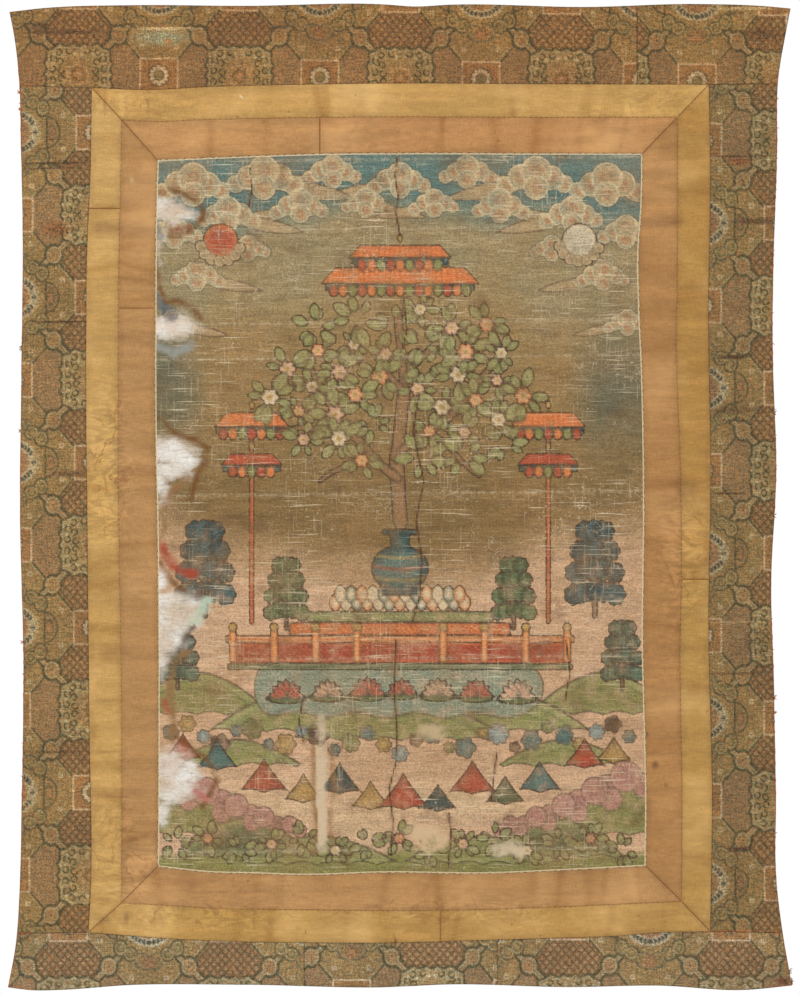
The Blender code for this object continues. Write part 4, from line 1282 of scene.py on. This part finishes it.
def make_brocade():
    finishes = (brocade_finish(), reverse_finish("brocade_reverse", tone(134, 112, 84), tone(98, 76, 56)))
    first_join, last_join = BROCADE_BOTTOM_JOINS
    strips = rows(
        Strip,
        ("top_left", brocade_end_cut("top", None, BROCADE_TOP_JOIN), -279.6, 14.5, 0, -3,
         (0.94, 0.88, 0.82), ()),
        ("top_right", brocade_end_cut("top", BROCADE_TOP_JOIN), 344.5, 8.1, 0, 0, (0.93, 0.89, 0.84), ()),
        ("left", brocade_side_cut("left", LEFT_STRIP), -446.6, -147.3, -4.6, 0, (0.96, 0.96, 0.96),
         ["brocade_cloth_top_left"]),
        ("right", brocade_side_cut("right", RIGHT_STRIP), 350.9, -252.5, 0, 0, (0.90, 0.91, 0.92),
         ["brocade_cloth_top_right"]),
        ("bottom_left", brocade_end_cut("bottom", None, first_join), -291.2, -1065.5, 0, 0, BOTTOM_CAST,
         ["brocade_cloth_left", "silk_cloth_yellow_bottom_left"]),
        ("bottom_middle", brocade_end_cut("bottom", first_join, last_join), -56.1, -1054.4, 0, 0, BOTTOM_CAST,
         ["silk_cloth_yellow_bottom_left"]),
        ("bottom_right", brocade_end_cut("bottom", last_join), 103.2, -1064.3, 0, 0, (1, 1.04, 1.14),
         ["brocade_cloth_right", "silk_cloth_yellow_bottom_right"]),
    )
    for strip in strips:
        sheet = cloth("brocade_cloth_" + strip.name, strip.cut, BROCADE, finishes)
        x, z = sheet.x, sheet.z
        origin = (strip.x - strip.lean_x * z / LEAN_X_OVER,
                  strip.z + strip.lean_z * (x - strip.x) / LEAN_Z_OVER)
        colour = stained_and_fold_shaded(brocade(x, z, origin) * np.array(strip.cast), x, z, BROCADE_STAINS_AND_FOLD_SHADE)
        selvedge = np.clip(SELVEDGE_WIDE - sheet.inside, 0, 1) * (np.abs(x) > SELVEDGE_FROM)
        colour = blend(colour, SELVEDGE_RED, 0.7 * (selvedge * (0.55 + 0.45 * np.sin(z / SELVEDGE_WAVE))))
        store(sheet, "dye", ALBEDO * linear(colour))
        hang(sheet, strip.cut, "brocade_" + strip.name, strip.held_by)


# Painted shade and highlight of puckers, mm: the length of strip that has one, and their half widths with
# what chance adds
PUCKER_EVERY, FEWEST_PUCKERS = 26, 4
PUCKER_HALF, PUCKER_HALF_MORE = 2.5, 5
PUCKER_SHADE = (0.15, 0.20, 0.28)
PALE_SHARE = 0.35  # of the puckers, which catch the light


def pucker_shaded(colour, along, across, rng):
    """The cloth's colour with painted shade and highlight in soft bands across a strip, where its seams draw
    it into puckers.
    """
    depth = np.zeros(len(along))
    for _ in range(max(FEWEST_PUCKERS, int(np.ptp(along) / PUCKER_EVERY))):
        place = along.min() + np.ptp(along) * rng.random()
        lean, half = rng.random() - 0.5, PUCKER_HALF + PUCKER_HALF_MORE * rng.random()
        across_band = (along + 0.5 * lean * (across - across.mean()) - place) / half
        depth += (rng.random() - PALE_SHARE) * np.exp(-(across_band**2))
    return colour * (1 - np.clip(depth, -0.5, 0.8)[:, None] * PUCKER_SHADE)


# Lengths of silk, each between two joins of one side of its border
Silk = namedtuple("Silk", "kind side part start_mm stop_mm colour held_by")
SILKS = rows(
    Silk,
    ("yellow", "top", "", None, None, (190, 147, 83), ["brocade_cloth_top_left", "brocade_cloth_top_right"]),
    ("yellow", "left", "_upper", None, YELLOW_LEFT_JOIN, (195, 154, 91), ["brocade_cloth_left"]),
    ("yellow", "left", "_lower", YELLOW_LEFT_JOIN, None, (188, 147, 84), ["brocade_cloth_left"]),
    ("yellow", "right", "_upper", None, YELLOW_RIGHT_JOIN, (174, 130, 67), ["brocade_cloth_right"]),
    ("yellow", "right", "_lower", YELLOW_RIGHT_JOIN, None, (179, 138, 74), ["brocade_cloth_right"]),
    ("yellow", "bottom", "_left", None, YELLOW_BOTTOM_JOIN, (183, 141, 76), ["silk_cloth_yellow_left_lower"]),
    ("yellow", "bottom", "_right", YELLOW_BOTTOM_JOIN, None, (180, 138, 75),
     ["silk_cloth_yellow_right_lower"]),
    ("orange", "top", "_left", None, ORANGE_TOP_JOIN, (184, 136, 84), ["silk_cloth_yellow_top"]),
    ("orange", "top", "_right", ORANGE_TOP_JOIN, None, (181, 131, 80), ["silk_cloth_yellow_top"]),
    ("orange", "left", "_upper", None, ORANGE_LEFT_JOIN, (174, 129, 78), ["silk_cloth_yellow_left_upper"]),
    ("orange", "left", "_lower", ORANGE_LEFT_JOIN, None, (174, 130, 80), ["silk_cloth_yellow_left_lower"]),
    ("orange", "right", "", None, None, (171, 124, 73), ["silk_cloth_yellow_right_upper"]),
    ("orange", "bottom", "", None, None, (179, 133, 82), ["silk_cloth_yellow_bottom_left"]),
)
# How dark the painted seam shade along a strip is, by its silk and whether it runs level, and that at its
# ends
SIDE_SEAM_SHADE = {("yellow", True): 0.12, ("yellow", False): 0.12, ("orange", True): 0.6, ("orange", False): 0.32}
END_SEAM_SHADE = 0.9


def make_silks():
    finishes = {
        "yellow": (silk_finish("yellow_silk", tone(212, 172, 112), tone(138, 96, 50)),
                   reverse_finish("yellow_silk_reverse", tone(176, 138, 84), tone(140, 104, 62))),
        "orange": (silk_finish("orange_silk", tone(196, 152, 100), tone(132, 88, 52)),
                   reverse_finish("orange_silk_reverse", tone(168, 124, 80), tone(130, 92, 58))),
    }
    rings = {"yellow": (YELLOW_LINE, ORANGE_LINE), "orange": (ORANGE_LINE, PANEL_LINE)}
    rng = np.random.default_rng(5)
    for silk in SILKS:
        name = silk.kind + "_" + silk.side + silk.part
        cut = border_cut(*rings[silk.kind], silk.side, silk.start_mm, silk.stop_mm)
        sheet = cloth("silk_cloth_" + name, cut, SILK, finishes[silk.kind])
        x, z, level = sheet.x, sheet.z, is_level(silk.side)
        # the silk's colour, with the painted shade and highlight of its puckers
        dye = pucker_shaded(np.array(silk.colour, dtype=float), *((x, z) if level else (z, x)), rng)
        store(sheet, "dye", ALBEDO * linear(stained_and_fold_shaded(dye, x, z, SILK_STAINS_AND_FOLD_SHADE)))
        at_end = (sheet.endways <= sheet.inside) ^ level
        store(sheet, "seam_shade", np.where(at_end, END_SEAM_SHADE, SIDE_SEAM_SHADE[silk.kind, level]))
        damp = [np.hypot((x - spot.x) / spot.half_x, (z - spot.z) / spot.half_z) for spot in WATERED]
        store(sheet, "watered", np.clip(1.5 - np.min(damp, axis=0), 0, 1))
        hang(sheet, cut, "silk_" + name, silk.held_by)


# The panel's wear, by the pixels of the picture's frame
Patch = namedtuple("Patch", "x y half_x half_y")
BARE_PATCHES = rows(
    Patch, (164, 210, 22, 11), (180, 212, 13, 8), (168, 329, 24, 11), (181, 326, 13, 11), (167, 451, 22, 13),
    (182, 458, 17, 13), (168, 471, 20, 9), (161, 484, 7, 17), (160, 579, 7, 11), (170, 604, 30, 13),
    (172, 621, 25, 14), (167, 641, 18, 12), (161, 660, 8, 14), (166, 758, 20, 9), (175, 773, 25, 14),
    (174, 790, 25, 11), (162, 812, 8, 12), (159, 246, 3, 10),
)
Smear = namedtuple("Smear", "colour width points")
TIDE, DARK_TIDE, MILD_TIDE, CREAM_GROUND = (112, 72, 34), (80, 52, 30), (142, 104, 64), (204, 182, 150)
SMEARS = rows(
    Smear,
    (TIDE, 5, ((158, 192), (170, 189), (185, 194), (196, 200), (204, 213), (199, 224), (187, 232),
               (171, 236))),
    ((132, 78, 52), 4, ((172, 231), (182, 229), (190, 226))),
    (TIDE, 4, ((156, 262), (159, 285), (165, 303), (178, 300), (190, 306), (201, 318))),
    ((58, 82, 102), 10, ((157, 298), (164, 308), (172, 315))),
    ((146, 146, 138), 9, ((158, 347), (174, 353), (192, 344))),
    ((88, 104, 108), 6, ((158, 226), (160, 238))),
    (TIDE, 5, ((157, 418), (166, 424), (176, 434), (186, 438), (197, 440), (207, 448), (205, 460),
               (198, 474), (194, 490), (190, 500))),
    (MILD_TIDE, 5, ((187, 478), (176, 486), (168, 498), (163, 512), (165, 528), (161, 541))),
    ((160, 68, 48), 9, ((162, 543), (166, 556), (172, 566), (184, 572), (194, 574))),
    (TIDE, 5, ((160, 563), (170, 578), (180, 588), (194, 596), (209, 591))),
    ((182, 198, 174), 11, ((207, 601), (201, 611), (195, 621))),
    (DARK_TIDE, 5, ((196, 622), (190, 632), (184, 642), (178, 650), (183, 660))),
    (MILD_TIDE, 8, ((184, 652), (175, 664), (171, 680), (170, 700), (174, 722), (172, 738))),
    ((168, 72, 54), 8, ((165, 702), (168, 710))),
    (TIDE, 5, ((172, 735), (184, 742), (196, 752), (206, 758), (214, 770), (216, 782), (209, 795),
               (203, 806))),
    ((176, 108, 96), 8, ((196, 792), (206, 799))),
    (MILD_TIDE, 4, ((314, 742), (313, 780), (317, 815), (315, 852))),
    (MILD_TIDE, 4, ((331, 748), (334, 790), (329, 820), (332, 846))),
    (CREAM_GROUND, 11, ((321, 748), (322, 780), (320, 800), (323, 825), (321, 846))),
    (CREAM_GROUND, 9, ((322, 718), (321, 736))),
    ((206, 176, 136), 17, ((412, 831), (442, 838), (428, 845))),
    (CREAM_GROUND, 13, ((499, 850), (512, 846), (519, 852))),
    ((190, 166, 126), 13, ((421, 732), (440, 732))),
)
# Each crack is a line down the paint
CRACKS = (
    ((397, 158), (395, 175), (398, 196), (396, 214), (400, 236)),
    ((419, 395), (413, 430), (418, 455), (424, 482), (416, 520), (422, 560), (419, 600), (411, 626)),
    ((396, 640), (394, 690), (397, 730), (396, 762), (389, 790), (393, 820), (391, 856)),
    ((497, 752), (494, 775), (491, 802)), ((449, 812), (451, 838), (448, 868)),
    ((404, 300), (407, 330), (401, 352)), ((302, 702), (299, 722), (304, 742)),
    ((250, 168), (252, 190), (249, 206)), ((566, 640), (570, 672), (565, 700)),
)


def worn(x, z):
    """How far each point lies outside the bare patches, from the nearest crack and outside the nearest
    smear, mm, with that smear's colour."""
    across, down = x / PIXEL_MM + FRAME_WIDE / 2, FRAME_TOP_PIXELS - z / PIXEL_MM
    bare, crack, smear = np.full((3, len(x)), FAR)
    colour = np.zeros((len(x), 3))
    for spot in BARE_PATCHES:
        bare = np.minimum(bare, ellipse(across - spot.x, down - spot.y, spot.half_x, spot.half_y))
    for line in CRACKS:
        for start, end in zip(line, line[1:]):
            crack = np.minimum(crack, capsule(across, down, start, end, 0))
    for stroke in SMEARS:
        for start, end in zip(stroke.points, stroke.points[1:]):
            away = capsule(across, down, start, end, stroke.width / 2)
            colour[away < smear] = stroke.colour
            smear = np.minimum(smear, away)
    return bare * PIXEL_MM, crack * PIXEL_MM, smear * PIXEL_MM, colour


def make_panel():
    cut = Cut(*(along_side(PANEL_LINE, side) for side in ("top", "bottom", "left", "right")))
    finishes = (painted_finish(), reverse_finish("cotton_reverse", tone(176, 154, 122), tone(138, 108, 76)))
    sheet = cloth("painted_cloth", cut, COTTON, finishes)
    x, z = sheet.x, sheet.z
    from_middle = z - PANEL_MIDDLE_MM
    store(sheet, "ground", ALBEDO * linear(ground_colour(x, from_middle)))
    for name, paint in (("middle", paint_middle), ("front", paint_front)):
        coat = Layer(x, from_middle)
        paint(coat)
        store(sheet, name, ALBEDO * linear(coat.colour))
        store(sheet, name + "_edge", coat.edge)
    bare, crack, smear, smear_colour = worn(x, z)
    for name, values in (("bare", bare), ("crack", crack), ("smear_edge", smear),
                         ("smear", ALBEDO * linear(smear_colour))):
        store(sheet, name, values)
    along = z - FOLD_CLIMB * x
    creases = [np.exp(-(((along - fold.height) / RUBBED_HALF_MM) ** 2))
               for fold in PRESSED_MM if fold.forward < RUBBED_CREASE]
    store(sheet, "crease", np.max(creases, axis=0))
    hang(sheet, cut, "painted_panel",
         ["silk_cloth_orange_top_left", "silk_cloth_orange_top_right"])


# Threads, four-sided and thinner at their ends. Slant 0 lays a stitch along its seam and 1 across it, and
# its ends sink into the cloth.
SIDES = 4
THIN_END = 0.35
Stitch = namedtuple("Stitch", "pitch length slant proud")
PANEL_HEMMING = Stitch(0.0068, 0.0026, 0.55, 0.0002)
PANEL_BINDING = Stitch(0.0105, 0.0075, 0.02, 0.0003)
BORDER_HEMMING = Stitch(0.0062, 0.0022, 0.4, 0.0001)
MITRE_HEMMING = Stitch(0.0052, 0.0020, 0.5, 0.0001)
HEMMING_RADIUS, BINDING_RADIUS, SEAM_RADIUS = 0.00028, 0.00036, 0.00022
PLACE_JITTER, SLANT_JITTER = 0.25, 0.15
END_SINKS, END_SINKS_SHARE = 0.00025, 0.6  # the share is of how proud the stitch stands


def tube_points(line, radius):
    """Rings of points round a polyline, thinner at both ends."""
    line = np.asarray(line, dtype=float)
    run = np.gradient(line, axis=0)
    run /= np.linalg.norm(run, axis=1)[:, None]
    outward = np.cross(run, (0, 1, 0))
    outward /= np.linalg.norm(outward, axis=1)[:, None]
    other = np.cross(run, outward)
    turn = TURN * (np.arange(SIDES) + 0.5) / SIDES
    thick = np.full(len(line), radius)
    thick[[0, -1]] = THIN_END * radius
    ring = np.cos(turn)[None, :, None] * outward[:, None] + np.sin(turn)[None, :, None] * other[:, None]
    return line[:, None] + ring * thick[:, None, None]


def make_threads(name, lines, radius, material):
    """One piece of many short threads, each along a polyline."""
    points, quads, ends, offset = [], [], [], 0
    for line in lines:
        rings = tube_points(line, radius)
        corner = np.arange(len(rings) * SIDES).reshape(-1, SIDES) + offset
        quads.append(grid_faces(np.concatenate((corner, corner[:, :1]), axis=1)))
        for end in (corner[0], corner[-1, ::-1]):
            ends.extend(((end[0], end[1], end[2]), (end[0], end[2], end[3])))
        points.append(rings.reshape(-1, 3))
        offset += len(rings) * SIDES
    own(mesh_object(name, np.concatenate(points), np.concatenate(quads), ends, (material,)), None)


def on_cloth(points, thickness, proud):
    """Places in the frame for X and Z on the front of the cloth, this far proud of it."""
    x, z = points[:, 0], points[:, 1]
    return np.column_stack((x, -forward(x, z) - pressed(x, z) - thickness / 2 - proud, z))


def stitch_lines(path, stitch, weave, rng):
    """Short stitches along a seam."""
    total = length_of(path)
    count = int(total / stitch.pitch)
    lines = []
    for index in range(count):
        at = (index + 0.5 + PLACE_JITTER * (rng.random() - 0.5)) / count
        reach = stitch.length / total / 2
        ends = resample(path, (max(at - reach, 0), min(at + reach, 1)))
        centre = ends.mean(axis=0)
        run = (ends[1] - ends[0]) / max(np.linalg.norm(ends[1] - ends[0]), 1e-9)
        lean = stitch.slant + SLANT_JITTER * (rng.random() - 0.5)
        direction = run * (1 - abs(lean)) + np.array((-run[1], run[0])) * lean
        direction *= stitch.length / 2 / np.linalg.norm(direction)
        placed = np.array((centre - direction, centre, centre + direction))
        placed = on_cloth(placed, weave.thickness, stitch.proud)
        placed[[0, 2], 1] += END_SINKS_SHARE * stitch.proud + END_SINKS
        lines.append(placed)
    return lines


def make_stitches():
    rng = np.random.default_rng(7)
    dark = thread_finish("dark_thread", tone(96, 70, 46), tone(66, 48, 34))
    cream = thread_finish("cream_thread", tone(214, 198, 164), tone(182, 162, 124))
    gold = thread_finish("gold_thread", tone(128, 90, 50), tone(96, 64, 36))
    sides = ("top", "right", "bottom", "left")

    def round_ring(ring, stitch, weave):
        return [line for side in sides for line in stitch_lines(along_side(ring, side), stitch, weave, rng)]

    hemming = round_ring(PANEL_LINE, PANEL_HEMMING, COTTON)
    make_threads("stitches_panel", hemming, HEMMING_RADIUS, dark)
    binding = round_ring(PANEL_LINE, PANEL_BINDING, COTTON)
    make_threads("thread_panel_edge", binding, BINDING_RADIUS, cream)
    seams = [line for ring in (YELLOW_LINE, ORANGE_LINE) for line in round_ring(ring, BORDER_HEMMING, SILK)]
    for corner in ("top_left", "top_right", "bottom_right", "bottom_left"):
        mitre = np.array([getattr(ring, corner) for ring in (YELLOW_LINE, ORANGE_LINE, PANEL_LINE)]) * MM
        seams += stitch_lines(mitre, MITRE_HEMMING, SILK, rng)
    make_threads("stitches_seams", seams, SEAM_RADIUS, gold)


# Loose thread ends: which way is out of a side, and how widely they spread, their least length and what
# chance adds to it, and how they bend
OUT = {"right": 0, "left": np.pi}
Fray = namedtuple("Fray", "spread least more bend")
STRAY_END, TUFT_END = Fray(2.2, 0.001, 0.002, 1), Fray(2.4, 0.0015, 0.0025, 3)
FRAY_POINTS = 7
SPRING_OFF, SPRING_OVER = 0.004, 0.01  # at most this far off the cloth, for an end this long


def loose_end(start, side, fray, rng):
    """A thread end that springs off the cloth's edge."""
    heading = OUT[side] + fray.spread * (rng.random() - 0.5)
    length = fray.least + fray.more * rng.random()
    bend = fray.bend * (rng.random() - 0.5)
    steps = np.linspace(0, 1, FRAY_POINTS)
    angle = heading + bend * steps**1.5
    moves = np.column_stack((np.cos(angle), np.zeros(FRAY_POINTS), np.sin(angle)))
    moves = moves * length / (FRAY_POINTS - 1)
    line = np.array(start) + np.concatenate((np.zeros((1, 3)), np.cumsum(moves[1:], axis=0)))
    line[:, 1] -= SPRING_OFF * rng.random() * steps * length / SPRING_OVER
    return line


# Stretches of side with red-brown warp ends, as parts of its length, and how the ends lie there
RED_STRETCHES = {"right": ((0.06, 0.97),), "left": ((0.645, 0.82), (0.05, 0.14), (0.33, 0.345))}
RED_PIECE, RED_POINTS = 0.035, 8
RED_SWAY, RED_SUNK = 0.0004, 0.0001
MISSING_SHARE, STRAY_SHARE = 0.25, 0.6
RED_RADIUS, BROWN_RADIUS = 0.0005, 0.00042
# Tufts where the edge has frayed: side, part of its length, number of ends, and whether they are red
Tuft = namedtuple("Tuft", "side part count red")
TUFTS = rows(
    Tuft, ("left", 0.083, 7, True), ("left", 0.100, 7, True), ("left", 0.345, 9, False),
    ("left", 0.430, 5, False), ("right", 0.413, 6, False), ("right", 0.519, 4, False),
    ("right", 0.706, 8, True), ("right", 0.722, 6, True), ("left", 0.646, 6, True),
    ("right", 0.996, 14, False), ("right", 0.985, 8, False),
)
TUFT_HIGH = 0.004


def red_ends(path, side, rng):
    """Pieces of warp that lie just inside a stretch of the edge, some with a stray end."""
    inward = -RED_SWAY if side == "right" else RED_SWAY
    pieces = max(1, int(length_of(path) / RED_PIECE))
    for index in range(pieces):
        if rng.random() < MISSING_SHARE:
            continue
        ends = (index / pieces, (index + 0.75 + 0.2 * rng.random()) / pieces)
        run = resample(path, np.linspace(*ends, RED_POINTS))
        run[:, 0] += RED_SWAY * np.sin(np.arange(RED_POINTS) * 1.9 + index) + inward
        yield on_cloth(run, BROCADE.thickness, -RED_SUNK)
        if rng.random() < STRAY_SHARE:
            yield loose_end(on_cloth(resample(path, (ends[0],)), 0, 0)[0], side, STRAY_END, rng)


def make_selvedges():
    """The raw selvedges: warp ends that lie along both sides, and tufts."""
    rng = np.random.default_rng(11)
    red = [line for side, parts in RED_STRETCHES.items() for part in parts
           for line in red_ends(along_side(HEM, side, *part), side, rng)]
    brown = []
    for tuft in TUFTS:
        at = on_cloth(along_side(HEM, tuft.side, tuft.part, tuft.part + 0.001, 2), 0, 0)[0]
        for _ in range(tuft.count):
            start = at + np.array((0, 0, TUFT_HIGH * (rng.random() - 0.5)))
            (red if tuft.red else brown).append(loose_end(start, tuft.side, TUFT_END, rng))
    red_finish = thread_finish("red_thread", tone(172, 92, 56), tone(124, 62, 42))
    brown_finish = thread_finish("brown_thread", tone(112, 84, 58), tone(78, 56, 40))
    make_threads("selvedge_red_ends", red, RED_RADIUS, red_finish)
    make_threads("selvedge_brown_ends", brown, BROWN_RADIUS, brown_finish)


# Camera, lamps and floor
CAMERA_AWAY = 5.2
SENSOR = 36
FLOOR_HALF, FLOOR_HEIGHT, FLOOR_TOWARDS_CAMERA = 1.9, -1.45, 0.7
FLOOR_GREYS = (0.84, 0.84, 0.84), (0.88, 0.88, 0.87)
Lamp = namedtuple("Lamp", "name place size power")
LAMPS = rows(Lamp, ("key", (-2.6, -2.2, 1.3), 1.4, 62), ("fill", (2.4, -3, -0.2), 1.8, 16))
LAMP_TARGET = (0, 0, -0.55)


def make_camera():
    data = bpy.data.cameras.new("camera")
    high = FRAME_HIGH * PIXEL_MM * MM
    data.sensor_fit = "VERTICAL"
    data.sensor_height = SENSOR
    data.lens = SENSOR * CAMERA_AWAY / high
    camera = bpy.data.objects.new("camera", data)
    camera.location = (0, -CAMERA_AWAY, FRAME_TOP_PIXELS * PIXEL_MM * MM - high / 2)
    camera.rotation_euler = (np.pi / 2, 0, 0)
    bpy.context.scene.collection.objects.link(camera)
    bpy.context.scene.camera = camera


def make_lamp(lamp):
    data = bpy.data.lights.new(lamp.name, "AREA")
    data.shape = "SQUARE"
    data.size = lamp.size
    data.energy = lamp.power
    obj = bpy.data.objects.new(lamp.name, data)
    obj.location = lamp.place
    aim = np.array(LAMP_TARGET) - np.array(lamp.place)
    flat = np.hypot(aim[0], aim[1])
    obj.rotation_euler = (np.arctan2(flat, -aim[2]), 0, np.arctan2(aim[1], aim[0]) - np.pi / 2)
    bpy.context.scene.collection.objects.link(obj)


def make_studio():
    world = bpy.data.worlds.new("studio")
    world.use_nodes = True
    background = world.node_tree.nodes["Background"]
    background.inputs["Color"].default_value = (1, 1, 1, 1)
    background.inputs["Strength"].default_value = 1
    bpy.context.scene.world = world
    bpy.context.scene.view_settings.view_transform = "Standard"
    for lamp in LAMPS:
        make_lamp(lamp)
    floor = Finish("floor", 0.9, FLOOR_GREYS[0])
    floor.lay(floor.noise(3, 3), FLOOR_GREYS[1])
    corners = [(FLOOR_HALF * x, FLOOR_HALF * y - FLOOR_TOWARDS_CAMERA, FLOOR_HEIGHT)
               for x, y in ((-1, -1), (1, -1), (1, 1), (-1, 1))]
    mesh_object("floor", corners, [[0, 1, 2, 3]], [], (floor.finish(),))


make_brocade()
make_silks()
make_panel()
make_stitches()
make_selvedges()
make_studio()
make_camera()
